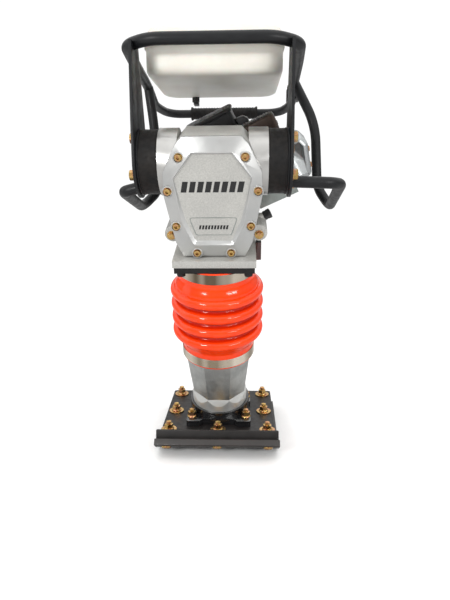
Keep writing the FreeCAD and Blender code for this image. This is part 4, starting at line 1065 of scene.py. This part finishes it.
# ---------------------------------------------------------------- leg
@dataclass
class Leg:
    """Cast leg, bellows and the two bands."""

    collar_top: float = 129.0
    turned_top: float = 241.0
    neck: float = 80.5
    wall: float = 3.0
    fold_ring: float = 93.2
    fold: float = 11.0
    first: float = 302.7
    pitch: float = 33.8
    low: float = 234.0
    high: float = 471.8
    lower_neck: float = 268.0
    upper_neck: float = 441.0
    lower_band: float = 237.4
    upper_band: float = 447.5
    band_height: float = 22.0
    band_thick: float = 1.4
    bend: Point2 = (262.0, 444.0)

    def build(self) -> None:
        """Build the leg, the bellows and the bands."""
        leg = softened("leg_casting", 0.8, CAST_ALUMINIUM, 2, 18.0)
        painted(leg, TURNED_LEG, self.on_lathe)
        finish_piece("leg", leg, "leg_casting", sharp=16.0)
        self.build_bellows()
        self.build_springs()
        # Painted light: the lower band is the same steel painted paler.
        self.build_band("lower_band", self.lower_band, LIGHTER_LIT_STAINLESS)
        self.build_band("upper_band", self.upper_band, STAINLESS)

    def on_lathe(self, place: Vector, normal: Vector) -> bool:
        """True on the turned collar and on the turned top."""
        return place.z < self.collar_top + 0.3 and abs(normal.z) < 0.95 or place.z > self.turned_top

    def bellows_profile(self) -> list[Point2]:
        """Half outline of the bellows.

        Returns:
            The points, up the outside and down the inside.
        """
        centres = [self.first + self.pitch * i for i in range(4)]
        outer = self.neck + self.wall
        line: list[Point2] = [(outer - 0.6, self.low), (outer, self.low + 0.8), (outer, self.lower_neck)]
        line += self.sweep(outer, self.lower_neck, self.fold_ring, centres[0] - self.fold)
        for i, height in enumerate(centres):
            line += self.crest(height)
            if i < len(centres) - 1:
                dip = self.pitch / 2 - self.fold
                line += [(self.fold_ring - dip * math.cos(math.radians(a)),
                          height + self.pitch / 2 + dip * math.sin(math.radians(a)))
                         for a in range(-80, 90, 16)]
        line += self.sweep(self.fold_ring, centres[3] + self.fold, outer, self.upper_neck)
        line += [(outer, self.upper_neck), (outer, self.high - 0.8), (outer - 0.6, self.high),
                 (self.neck, self.high), (self.neck, 443.0), (88.0, 425.0), (86.0, 300.0),
                 (self.neck, self.lower_neck), (self.neck, self.low)]
        return line + [line[0]]

    def crest(self, height: float) -> list[Point2]:
        """Points of a fold's round crest.

        Args:
            height: Height of the fold's middle, in mm.

        Returns:
            The points, upwards.
        """
        turns = [math.radians(-90 + 180 * i / ARC_STEPS) for i in range(ARC_STEPS + 1)]
        return [(self.fold_ring + self.fold * math.cos(a), height + self.fold * math.sin(a)) for a in turns]

    @staticmethod
    def sweep(r0: float, z0: float, r1: float, z1: float) -> list[Point2]:
        """An S-shaped run between a neck and a fold.

        Args:
            r0: Radius at the start, in mm.
            z0: Height at the start.
            r1: Radius at the end.
            z1: Height at the end.

        Returns:
            The points between both.
        """
        shares = [i / 10 for i in range(1, 10)]
        return [(r0 + (r1 - r0) * t * t * (3 - 2 * t), z0 + (z1 - z0) * t) for t in shares]

    def build_bellows(self) -> None:
        """The bellows between the leg and the crankcase, as one turned sleeve."""
        mesh = turned_mesh(self.bellows_profile(), POLYURETHANE, leg_place(), 160)
        piece = finish_piece("bellows_sleeve", mesh, "bellows", sharp=60.0, ride=False)
        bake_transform(piece)

    def build_springs(self) -> None:
        """The two coil springs, each a softened copy of its CAD coil, on no body."""
        for node, fixed, moving in (("lower_spring", 112.0, 241.0), ("upper_spring", 388.0, 263.0)):
            coil = softened(node, 0.2, OILED_STEEL, 1, 70.0)
            piece = finish_piece(node + "_coil", coil, node, sharp=60.0, ride=False)
            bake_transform(piece)

    def build_band(self, node: str, bottom: float, finish: Finish) -> None:
        """One stainless band with rolled edges and its worm housing.

        Args:
            node: The CAD node.
            bottom: Height of its lower edge, in mm.
            finish: Its finish.
        """
        inner = self.neck + self.wall
        outer = inner + self.band_thick
        top = bottom + self.band_height
        line = [(inner, bottom + 0.4), (inner, top - 0.4), (inner + 0.4, top), (outer - 0.4, top),
                (outer, top - 0.4), (outer, bottom + 0.4), (outer - 0.4, bottom), (inner + 0.4, bottom),
                (inner, bottom + 0.4)]
        ring = turned_mesh(line, finish, leg_place(), 160)
        housing = softened(node, 0.5, finish, 2)
        bm = bmesh.new()
        bm.from_mesh(housing)
        back = leg_place().inverted()
        gone = [face for face in bm.faces if (back @ face.calc_center_median()).y < inner - 8.0]
        bmesh.ops.delete(bm, geom=gone, context="FACES")
        bmesh.ops.holes_fill(bm, edges=bm.edges, sides=0)
        bmesh.ops.recalc_face_normals(bm, faces=bm.faces)
        bm.to_mesh(housing)
        bm.free()
        finish_piece(node + "_ring", joined([ring, housing]), node, sharp=40.0)


# ---------------------------------------------------------------- crankcase
@dataclass
class Cover:
    """Cast front cover: sloping rim, bright panel edge, recessed panel and screw seats."""

    back: float = -49.0
    shoulder: float = -57.5
    crest: float = -68.0
    floor: float = -63.2
    seat: float = -60.5
    middle: float = 622.0
    outer: tuple = ((0, 502), (52, 502), (64, 502), (78, 532), (87.5, 580.5), (92.2, 605), (96.8, 629),
                    (95.9, 675), (70, 727), (56, 742), (0, 742))
    ridge: tuple = ((0, 529), (38.5, 529), (43, 533.5), (53.5, 556), (61.5, 574), (68, 605), (72, 632),
                    (77.5, 667.5), (49, 703.5), (39.5, 715.5), (0, 715.5))
    spots: tuple = ((63.9, 705), (89.3, 639.8), (75.7, 568.7), (35.2, 511.5))

    def loop(self, half: Sequence[Point2], v: float, inset: float = 0.0, edge: bool = False) -> list[Point3]:
        """A full loop of the cover.

        Args:
            half: Its right half, as u and w.
            v: Its depth, in mm.
            inset: How far it is drawn in.
            edge: True to draw it in by the panel edge's width as well.

        Returns:
            The loop, in the leg frame.
        """
        right = []
        for u, w in half:
            arm = Vector((u, w - self.middle))
            arm = arm * (1 - (inset + (self.bevel_width(w) if edge else 0.0)) / arm.length)
            right.append((arm.x, v, self.middle + arm.y))
        return right + [(-u, v, w) for u, v, w in reversed(right[1:-1])]

    @staticmethod
    def bevel_width(w: float) -> float:
        """The panel edge is wide at the bottom and narrow at the top."""
        return 3.4 + 5.6 * min(1.0, max(0.0, (650 - w) / 90))

    def screw_spots(self) -> list[Point2]:
        """The eight screws, as u and w."""
        return [(side * u * 0.985, w) for u, w in self.spots for side in SIDES]

    def seat_mesh(self, radius: float, start: float, end: float) -> Mesh:
        """Eight short cylinders along v at the screws.

        Args:
            radius: Their radius, in mm.
            start: Where they start along v.
            end: Where they end.

        Returns:
            One mesh with all of them.
        """
        height = abs(end - start)
        profile = [(0, 0), (radius, 0), (radius, height - 0.8), (radius - 0.8, height), (0, height)]
        return joined([turned_mesh(profile, RIM_LACQUER, leg_place() @ aimed((u, start, w), (0, -1, 0)), 40)
                       for u, w in self.screw_spots()])

    def build(self) -> None:
        """Build the cover with its printed bars and the screws."""
        loops = [self.loop(self.outer, self.back), self.loop(self.outer, self.shoulder + 0.9),
                 self.loop(self.outer, self.shoulder, 0.7), self.loop(self.ridge, self.crest + 0.4),
                 self.loop(self.ridge, self.crest, 0.6), self.loop(self.ridge, self.crest, 1.9),
                 self.loop(self.ridge, self.crest + 0.4, 2.6),
                 self.loop(self.ridge, self.floor - 0.5, 0.0, True),
                 self.loop(self.ridge, self.floor, 0.8, True)]
        body = lofted(loops, RIM_LACQUER, leg_place())
        body = combined(body, self.seat_mesh(11.0, -52.0, -65.6), "UNION")
        body = combined(body, self.seat_mesh(9.0, self.seat, -80.0), "DIFFERENCE")
        painted(body, SILVER_LACQUER,
                lambda place, normal: normal.y < -0.99 and abs(place.y - self.floor) < FACE_SLACK)
        painted(body, TURNED_DEPTH,
                lambda place, normal: normal.y < -0.9 and abs(place.y - self.seat) < FACE_SLACK)
        finish_piece("front_cover", joined([body, self.plate_line(), self.bars()]), "crankcase_cover",
                     sharp=24.0)
        head = turned_part([(0, 2.2), (3.1, 2.2), (3.3, 8.4), (5.6, 8.4), (6.4, 7.6), (6.5, 0.6), (8.2, 0.5),
                            (8.2, 0.0), (0, 0)], 40)
        spots = [(on_leg(u, self.seat, w), on_leg(u, -80, w) - on_leg(u, self.seat, w))
                 for u, w in self.screw_spots()]
        screws = scattered(part_mesh(head), spots, YELLOW_ZINC, 6.0, 7)
        finish_piece("cover_screw_set", screws, "cover_screws")

    def plate_line(self) -> Mesh:
        """The thin raised outline of the nameplate.

        Returns:
            Its mesh, in place.
        """
        corners = [(0, 586.6), (47.9, 586.6), (35.3, 550.6), (-35.3, 550.6), (-47.9, 586.6), (0, 586.6)]
        centre = Vector((0, 569))
        arms = [Vector(point) - centre for point in rounded_profile(corners, 5.0)[:-1]]
        loops = []
        for offset, v in ((1.0, self.floor + 0.3), (0.7, self.floor - 0.8), (-0.5, self.floor - 0.8),
                          (-0.8, self.floor + 0.3)):
            grown = [arm * (1 + offset / arm.length) for arm in arms]
            loops.append([(arm.x, v, centre.y + arm.y) for arm in grown])
        return lofted(loops, DIE_CAST, leg_place(), ring=True)

    def bars(self) -> Mesh:
        """Two rows of plain slanted bars in thick printed ink.

        Returns:
            Their mesh, in place.
        """
        rows = [(-62 + 15.6 * i, 638.0, 659.0, 11.0) for i in range(8)]
        rows += [(-29.5 + 6.0 * i, 562.5, 571.0, 4.0) for i in range(10)]
        boxes = []
        for u, low, high, wide in rows:
            lean = (high - low) * 0.2
            corners = [(u, low), (u + wide, low), (u + wide + lean, high), (u + lean, high)]
            loops = [[(x, v, w) for x, w in corners] for v in (self.floor - 0.18, self.floor + 0.2)]
            boxes.append(lofted(loops, PRINT_INK, leg_place()))
        return joined(boxes)


@dataclass
class Crankcase:
    """Crankcase casting, flanges, rubber mounts, filler and gauge."""

    boss_back: float = 27.0
    boss_high: float = 675.5
    boss_radius: float = 67.5
    boss_end: float = 108.7
    rubber_end: float = 146.0
    rubber_radius: float = 65.8
    flange_low: float = 472.0
    flange_bolts: tuple = ((-70, -68), (-70, 67), (70, -68), (70, 67))
    lug_bolts: tuple = ((-89.5, 540.0), (92.0, 541.0))
    lug_face: float = -37.0
    filler_seat: Point3 = (66.0, 19.0, 542.0)
    filler_rise: float = 28.0
    filler_reach: float = 42.3
    gauge_top: float = 490.0

    def build(self) -> None:
        """Build every piece of the crankcase."""
        case = softened("crankcase", 1.8, SILVER_LACQUER)
        painted(case, TURNED_SIDE, self.on_boss)
        finish_piece("case_casting", case, "crankcase")
        Cover().build()
        finish_piece("black_flange", softened("lower_flange", 2.4, BRUSHED_BLACK), "lower_flange")
        self.build_bolts()
        self.build_rubbers()
        self.build_filler()

    def on_boss(self, place: Vector, normal: Vector) -> bool:
        """True on the machined rim of a side boss."""
        reach = math.hypot(place.y - self.boss_back, place.z - self.boss_high)
        return abs(place.x) > 71 and reach < self.boss_radius + 0.5 and (
            reach > self.boss_radius - 3 or abs(normal.x) > 0.9)

    def build_bolts(self) -> None:
        """Black bolts under the flange and plated bolts on the lugs."""
        low = [(on_leg(u, v, self.flange_low), -leg_axis()) for u, v in self.flange_bolts]
        under = scattered(part_mesh(hexagon_part(16, 9.6)), low, BRUSHED_BLACK, 1.0, 11)
        forward = on_leg(0, -1, 0) - on_leg(0, 0, 0)
        front = [(on_leg(u, self.lug_face, w), forward) for u, w in self.lug_bolts]
        bolt = part_mesh(hexagon_part(13, 6.5, 1.6), washer_part(9.5, 0.01, 1.7))
        lugs = scattered(bolt, front, YELLOW_ZINC, 1.0, 13)
        finish_piece("case_bolt_set", joined([lugs, under]), "case_bolts")

    def build_rubbers(self) -> None:
        """The two round rubbers, waisted a little between bonded steel faces."""
        depth = self.rubber_end - self.boss_end
        r = self.rubber_radius
        profile = rounded_profile([(0, 0), (r - 0.6, 0), (r, 0.6), (r, 2.4), (r - 0.9, 3.4),
                                   (r - 1.5, depth / 2), (r - 0.9, depth - 3.4), (r, depth - 2.4),
                                   (r, depth - 0.6), (r - 0.6, depth), (0, depth)], 1.2)
        meshes = []
        for side in SIDES:
            start = aimed((side * self.boss_end, self.boss_back, self.boss_high), (side, 0, 0))
            meshes.append(turned_mesh(profile, MOULDED_RUBBER, leg_place() @ start, 96))
        finish_piece("mount_rubber_pair", joined(meshes), "mount_rubbers")

    def build_filler(self) -> None:
        """The filler's squarish cap and the oil gauge."""
        turn = math.radians(self.filler_rise)
        axis = Vector((math.cos(turn), 0, math.sin(turn)))
        start = Vector(self.filler_seat) + axis * self.filler_reach
        rows = [(half, half, 3.0, z) for half, z in ((7.4, 0.0), (8.2, 0.8), (8.2, 5.0), (7.7, 5.6),
                                                     (7.7, 6.6),
                                                     (8.4, 7.2), (8.6, 14.4), (7.8, 15.4))]
        finish_piece("filler_cap", stacked(rows, NYLON, leg_place() @ aimed(start, axis, 45)), "oil_cap")
        gauge = softened("oil_gauge", 1.6, NYLON)
        painted(gauge, SIGHT_GLASS, lambda place, normal: place.z < self.gauge_top)
        finish_piece("gauge_body", gauge, "oil_gauge")


# ---------------------------------------------------------------- engine
@dataclass
class Engine:
    """The engine's castings, silencer, air cleaner and starter."""

    height: float = 567.5
    tilt: float = 25.0
    grip_rise: float = 77.5
    plug_seat: Point3 = (163.0, 245.0, -18.0)

    def slant(self) -> Matrix:
        """The inclined cylinder's frame.

        Returns:
            Its placement: X along the cylinder, Z square to it, upwards.
        """
        centre = Vector((0, 0, self.height))
        turn = Matrix.Rotation(math.radians(-self.tilt), 4, "Y")
        return leg_place() @ Matrix.Translation(centre) @ turn

    def build(self) -> None:
        """Build every visible piece of the engine."""
        copies = (("engine_block", 1.2, DIE_CAST), ("cylinder_head", 0.9, DIE_CAST),
                  ("carburettor", 3.0, BRIGHT_CAST), ("recoil_housing", 1.6, STOVE_BLACK),
                  ("choke_lever", 0.8, OILED_STEEL), ("stop_switch", 1.6, NYLON))
        place_copies(copies, "_casting")
        self.build_valve_cover()
        self.build_silencer()
        self.build_air_cleaner()
        self.build_plug()
        self.build_starter_grip()

    def build_valve_cover(self) -> None:
        """Rounded bright cover on a lip, with four bolts in its far face."""
        place = self.slant()
        low, high = Vector((217, 0, -46)), Vector((234, 0, 24))
        out = Vector((high.z - low.z, 0, low.x - high.x)).normalized()
        heads = [(place @ (low.lerp(high, t) + Vector((0, v, 0))), place.to_3x3() @ out)
                 for t in (0.3, 0.8) for v in (152, 212)]
        bolt = part_mesh(hexagon_part(10, 3.0), washer_part(8.5, 0.01, 0.6))
        bolts = scattered(bolt, heads, YELLOW_ZINC, 1.0, 17)
        body = softened("valve_cover", 1.0, BRIGHT_CAST)
        finish_piece("rocker_cover", joined([body, bolts]), "valve_cover", sharp=40.0)

    def build_silencer(self) -> None:
        """Pressed silencer with rolled seams and a slotted guard."""
        place = self.slant()
        rows = ((38, 23, 8, 68), (40.4, 25.4, 9, 70), (41, 26, 10, 76), (41, 26, 10, 90),
                (42.4, 27.4, 10, 91),
                (42.4, 27.4, 10, 93), (41, 26, 10, 94), (41, 26, 10, 110), (39.6, 24.6, 10, 115.4),
                (35, 20, 9, 118))
        can = stacked(rows, HOT_SHEET, place, (149, 152))
        slots = [(place @ Vector((121 + 7 * i, 152, 118)), place.to_3x3() @ UP) for i in range(9)]
        slat = stacked(((1.7, 15, 1.6, -0.6), (1.7, 15, 1.6, 1.2), (1.2, 14.5, 1.1, 1.8)), HOT_SHEET,
                       level_place())
        guard = scattered(slat, slots, STOVE_BLACK)
        finish_piece("silencer_can", joined([can, guard]), "muffler", sharp=40.0)

    def build_air_cleaner(self) -> None:
        """Moulded air cleaner with its lid, ribs and duct."""
        place = self.slant()
        rows = ((50, 33, 8, 110), (54, 37, 10, 112), (57, 40, 12, 118), (57, 40, 12, 153),
                (59.6, 42.6, 13, 154),
                (60, 43, 14, 155), (60, 43, 14, 158.4), (57, 40, 13, 161.4), (50, 33, 12, 162))
        box = stacked(rows, NYLON, place, (47, 222))
        duct = lofted([rounded_box_loop(*row, (u, 215)) for u, row in
                       ((118, (14, 13, 5, 103)), (118, (14, 13, 5, 120)), (112, (12, 11, 4, 129)),
                        (108, (8, 8, 3, 130)))], NYLON, place)
        spots = [(place @ Vector((5 + 12 * i, 222, 161.6)), place.to_3x3() @ UP) for i in range(8)]
        rib = stacked(((1.6, 26, 1.5, -1.0), (1.6, 26, 1.5, 0.6), (1.1, 25.5, 1.0, 1.2)), NYLON,
                      level_place())
        ribs = scattered(rib, spots, NYLON)
        finish_piece("air_cleaner", joined([box, duct, ribs]), "air_filter", sharp=40.0)

    def build_plug(self) -> None:
        """Spark plug boot with moulded ribs."""
        line: list[Point2] = [(0, 0), (9, 0), (9, 13.6), (8.2, 14.4)]
        for i in range(4):
            line += [(8.2, 16 + 5 * i), (7.2, 16.8 + 5 * i), (7.2, 18.6 + 5 * i), (8.2, 19.4 + 5 * i)]
        line += [(8.2, 36.4), (6.8, 37.8), (0, 38)]
        mesh = turned_mesh(line, MOULDED_RUBBER, self.slant() @ aimed(self.plug_seat, (0, 1, 0)), 40)
        finish_piece("plug_boot", mesh, "spark_plug")

    def build_starter_grip(self) -> None:
        """Starter grip: a rounded bar with finger ridges."""
        line: list[Point2] = [(0, 0), (5.0, 0.6), (7.2, 2.6), (8.0, 6.0)]
        for i in range(6):
            line += [(8.0, 9.5 + 9 * i), (7.1, 11.5 + 9 * i), (7.1, 13.5 + 9 * i), (8.0, 15.5 + 9 * i)]
        line += [(8.0, 64.0), (7.2, 67.4), (5.0, 69.4), (0, 70)]
        high = self.height + self.grip_rise
        bar = turned_mesh(line, NYLON, leg_place() @ aimed((-111, 318.4, high), (1, 0, 0)), 40)
        stem = turned_mesh([(0, 0), (4.4, 0), (5.0, 0.8), (4.2, 5.0), (4.2, 9.0), (5.4, 12.0), (0, 12.0)],
                           NYLON,
                           leg_place() @ aimed((-76, 304.4, high), (0, 1, 0)), 32)
        finish_piece("starter_grip", joined([bar, stem]), "recoil_grip")


# ---------------------------------------------------------------- handle
@dataclass
class Handle:
    """Side plates, tank, grip and controls."""

    plate_face: float = 155.8
    pivot_back: float = 27.0
    pivot_high: float = 675.5
    bolt_spots: tuple = ((-45.0, -27.0), (27.0, -45.0), (45.0, 27.0), (-27.0, 45.0))
    loop_height: float = 872.0
    tank_middle: Point2 = (0.0, -5.0)
    filler: Point2 = (-50.0, 60.0)
    tank_drop: float = 46.0
    neck_rise: float = 103.6
    cap_rise: float = 72.3
    cap_radius: float = 31.0
    cap_ribs: int = 24
    grip_drop: float = 45.0

    def build(self) -> None:
        """Build every piece of the handle."""
        copies = (("side_plates", 1.0, POWDER_COAT), ("mount_discs", 0.8, POWDER_COAT),
                  ("throttle_clamp", 2.0, NYLON), ("throttle_lever", 1.4, NYLON), ("fuel_valve", 1.4, NYLON))
        place_copies(copies, "_piece")
        self.build_plate_bolts()
        self.build_tank()
        self.build_cap()
        self.build_grip()

    def build_plate_bolts(self) -> None:
        """Eight hexagon bolts with washers on the side plates."""
        pivot = leg_place() @ Vector((0, self.pivot_back, self.pivot_high)) / MM
        spots = [(Vector((side * self.plate_face, pivot.y + y, pivot.z + z)) * MM, Vector((side, 0, 0)))
                 for side in SIDES for y, z in self.bolt_spots]
        bolt = part_mesh(hexagon_part(18, 9, 1.8), washer_part(12.5, 0.01, 1.9))
        finish_piece("plate_bolt_set", scattered(bolt, spots, YELLOW_ZINC, 1.0, 19), "plate_bolts")

    def build_tank(self) -> None:
        """Blow-moulded tank with a welded seam, a crowned top and a filler neck."""
        base = self.loop_height - self.tank_drop
        rows = ((118, 123, 30, 0), (130, 135, 34, 1.2), (137, 142, 37, 5), (139.6, 144.6, 38, 11),
                (140, 145, 38, 20), (140, 145, 38, 53), (142.6, 147.6, 39, 54.2), (143, 148, 39, 55.4),
                (143, 148, 39, 57.6), (142.6, 147.6, 39, 58.8), (140, 145, 38, 60), (139.4, 144.4, 38, 76),
                (136, 141, 37, 88), (129, 134, 35, 97), (118, 123, 32, 103), (103, 108, 28, 106.4),
                (80, 85, 22, 107.8), (50, 55, 16, 108))
        body = stacked([(half, depth, corner, base + rise) for half, depth, corner, rise in rows],
                       POLYETHYLENE, level_place(), self.tank_middle)
        place = level_place() @ aimed((*self.filler, base + self.neck_rise), UP)
        neck = turned_mesh([(0, 0), (26, 0), (24.4, 3), (24, 6), (24, 15.6), (23.2, 16.4), (19, 16.4),
                            (19, 4),
                            (0, 4)], POLYETHYLENE, place, 64)
        finish_piece("tank_shell", joined([body, neck]), "fuel_tank", sharp=50.0)

    def build_cap(self) -> None:
        """Fuel cap with a skirt of grip ribs."""
        base = self.loop_height + self.cap_rise
        place = level_place() @ aimed((*self.filler, base), UP)
        disc = turned_mesh([(0, -13), (18.4, -13), (18.4, 0), (30.4, 0), (31, 0.8), (31, 12.4), (29.6, 14.8),
                            (26, 16), (20, 16), (19, 15), (0, 15)], NYLON, place, 72)
        turns = [2 * math.pi * i / self.cap_ribs for i in range(self.cap_ribs)]
        spots = [(place @ Vector((self.cap_radius * math.cos(a), self.cap_radius * math.sin(a), 1)), UP)
                 for a in turns]
        rib = part_mesh(turned_part([(0, 0), (2.0, 0), (2.4, 0.8), (2.4, 10.6), (1.4, 12.4), (0, 12.6)], 12))
        finish_piece("tank_cap", joined([disc, scattered(rib, spots, NYLON)]), "fuel_cap")

    def build_grip(self) -> None:
        """Ribbed rubber sleeve with rounded collars on the rear bar."""
        line: list[Point2] = [(12.0, 0), (18.6, 0), (19.4, 1.2), (19.4, 4.4), (18.2, 6.0), (16.4, 8.0)]
        for i in range(22):
            start = 11.0 + 8.2 * i
            line += [(16.2, start), (17.0, start + 1.0), (17.0, start + 4.2), (16.2, start + 5.2)]
        line += [(16.4, 192.0), (18.2, 194.0), (19.4, 195.6), (19.4, 198.8), (18.6, 200), (12.0, 200),
                 (12.0, 0)]
        high = self.loop_height - self.grip_drop
        sleeve = turned_mesh(line, MOULDED_RUBBER, level_place() @ aimed((-100, 411, high), (1, 0, 0)), 64)
        finish_piece("grip_sleeve", sleeve, "rear_grip")


# ---------------------------------------------------------------- floor, light and camera
@dataclass(frozen=True)
class Softbox:
    """A rectangular studio light."""

    name: str
    place: Point3
    target: Point3
    size: Point2
    power: float

    def build(self) -> None:
        """Hang the light and aim it."""
        lamp = bpy.data.lights.new(self.name, "AREA")
        lamp.shape = "RECTANGLE"
        lamp.size, lamp.size_y = self.size
        lamp.energy = self.power
        item = bpy.data.objects.new(self.name, lamp)
        bpy.context.scene.collection.objects.link(item)
        item.location = self.place
        item.rotation_euler = (Vector(self.target) - Vector(self.place)).to_track_quat("-Z", "Y").to_euler()


@dataclass
class Studio:
    """Floor, softboxes, sky and camera."""

    camera_place: Point3 = (0.06167, -1.25794, 0.59912)
    lens: float = 31.30
    yaw: float = -2.17
    pitch: float = 11.9
    roll: float = 0.38
    lights: list[Softbox] = field(default_factory=lambda: [
        Softbox("front_window", (-0.95, -1.75, 1.0), (0, -0.1, 0.4), (0.40, 0.32), 15.0),
        Softbox("right_strip", (1.25, -1.6, 0.95), (0, -0.1, 0.4), (0.9, 0.14), 13.0),
        Softbox("left_wall", (-2.0, -0.3, 1.0), (0, 0, 0.4), (1.0, 1.6), 4.0),
        Softbox("rear_box", (0.3, 2.2, 1.8), (0, 0, 0.4), (1.8, 1.4), 6.0),
    ])

    def build(self) -> None:
        """Build the whole studio."""
        self.build_camera()
        self.build_floor()
        self.build_sky()
        for light in self.lights:
            light.build()

    def build_camera(self) -> None:
        """The camera, on its measured place and turns."""
        yaw, pitch, roll = (math.radians(value) for value in (self.yaw, self.pitch, self.roll))
        ahead = Vector((math.sin(yaw), math.cos(yaw), 0))
        right = Vector((math.cos(yaw), -math.sin(yaw), 0))
        forward = ahead * math.cos(pitch) - UP * math.sin(pitch)
        above = UP * math.cos(pitch) + ahead * math.sin(pitch)
        across = right * math.cos(roll) - above * math.sin(roll)
        above = right * math.sin(roll) + above * math.cos(roll)
        data = bpy.data.cameras.new("camera")
        data.lens = self.lens
        data.sensor_width = 36.0
        data.sensor_fit = "AUTO"
        data.clip_start = 0.01
        item = bpy.data.objects.new("camera", data)
        bpy.context.scene.collection.objects.link(item)
        turn = Matrix((across, above, -forward)).transposed().to_4x4()
        item.matrix_world = Matrix.Translation(self.camera_place) @ turn
        bpy.context.scene.camera = item

    def build_floor(self) -> None:
        """A pale floor that runs out of view."""
        bm = bmesh.new()
        bmesh.ops.create_grid(bm, x_segments=8, y_segments=8, size=30.0)
        mesh = draft_mesh(bm, "floor")
        mesh.materials.append(self.floor_material())
        new_object("floor", mesh)

    @staticmethod
    def floor_material() -> bpy.types.Material:
        """White to the camera, and half as bright to the object, as under a black-flagged set.

        Returns:
            The floor's material.
        """
        material = FLOOR_PAINT.build()
        tree = material.node_tree
        shader = next(node for node in tree.nodes if node.type == "BSDF_PRINCIPLED")
        pale = shader.inputs["Base Color"].links[0].from_socket
        seen = add(tree, "ShaderNodeLightPath").outputs["Is Camera Ray"]
        mixed = add(tree, "ShaderNodeMix", {"Factor": seen, 6: linear("#C0C0C0"), 7: pale}, data_type="RGBA")
        tree.links.new(mixed.outputs[2], shader.inputs["Base Color"])
        return material

    def build_sky(self) -> None:
        """Soft room light: white overhead and behind, a darker room in front."""
        world = bpy.data.worlds.new("studio")
        bpy.context.scene.world = world
        world.use_nodes = True
        tree = world.node_tree
        tree.nodes.clear()
        way = add(tree, "ShaderNodeTexCoord").outputs["Generated"]
        parts = add(tree, "ShaderNodeSeparateXYZ", {"Vector": way})
        high = add(tree, "ShaderNodeMapRange", {"Value": parts.outputs["Z"], "From Min": 0.05,
                                                "From Max": 0.9,
                                                "To Min": 0.17, "To Max": 1.65})
        room = add(tree, "ShaderNodeBackground", {"Color": linear("#FFFFFF"), "Strength": high.outputs[0]})
        plain = add(tree, "ShaderNodeBackground", {"Color": linear("#FFFFFF"), "Strength": 1.05})
        seen = add(tree, "ShaderNodeLightPath").outputs["Is Camera Ray"]
        mix = add(tree, "ShaderNodeMixShader", {0: seen, 1: room.outputs[0], 2: plain.outputs[0]})
        add(tree, "ShaderNodeOutputWorld", {"Surface": mix.outputs[0]})


def dress_frame() -> None:
    """Give every CAD node the finish of its slot."""
    for name, item in frame["nodes"].items():
        material = SLOT_FINISH[record_row(name)["material_slot"]].build()
        for slot in item.material_slots:
            slot.material = material


def main() -> None:
    """Build everything in order."""
    logging.basicConfig(level=logging.INFO, format="%(name)s %(message)s")
    bpy.context.scene.view_settings.view_transform = "Standard"
    Studio().build()
    dress_frame()
    for assembly in (Shoe(), Leg(), Crankcase(), Engine(), Handle()):
        LOG.info("building %s", type(assembly).__name__)
        assembly.build()


if __name__ == "__main__":
    main()
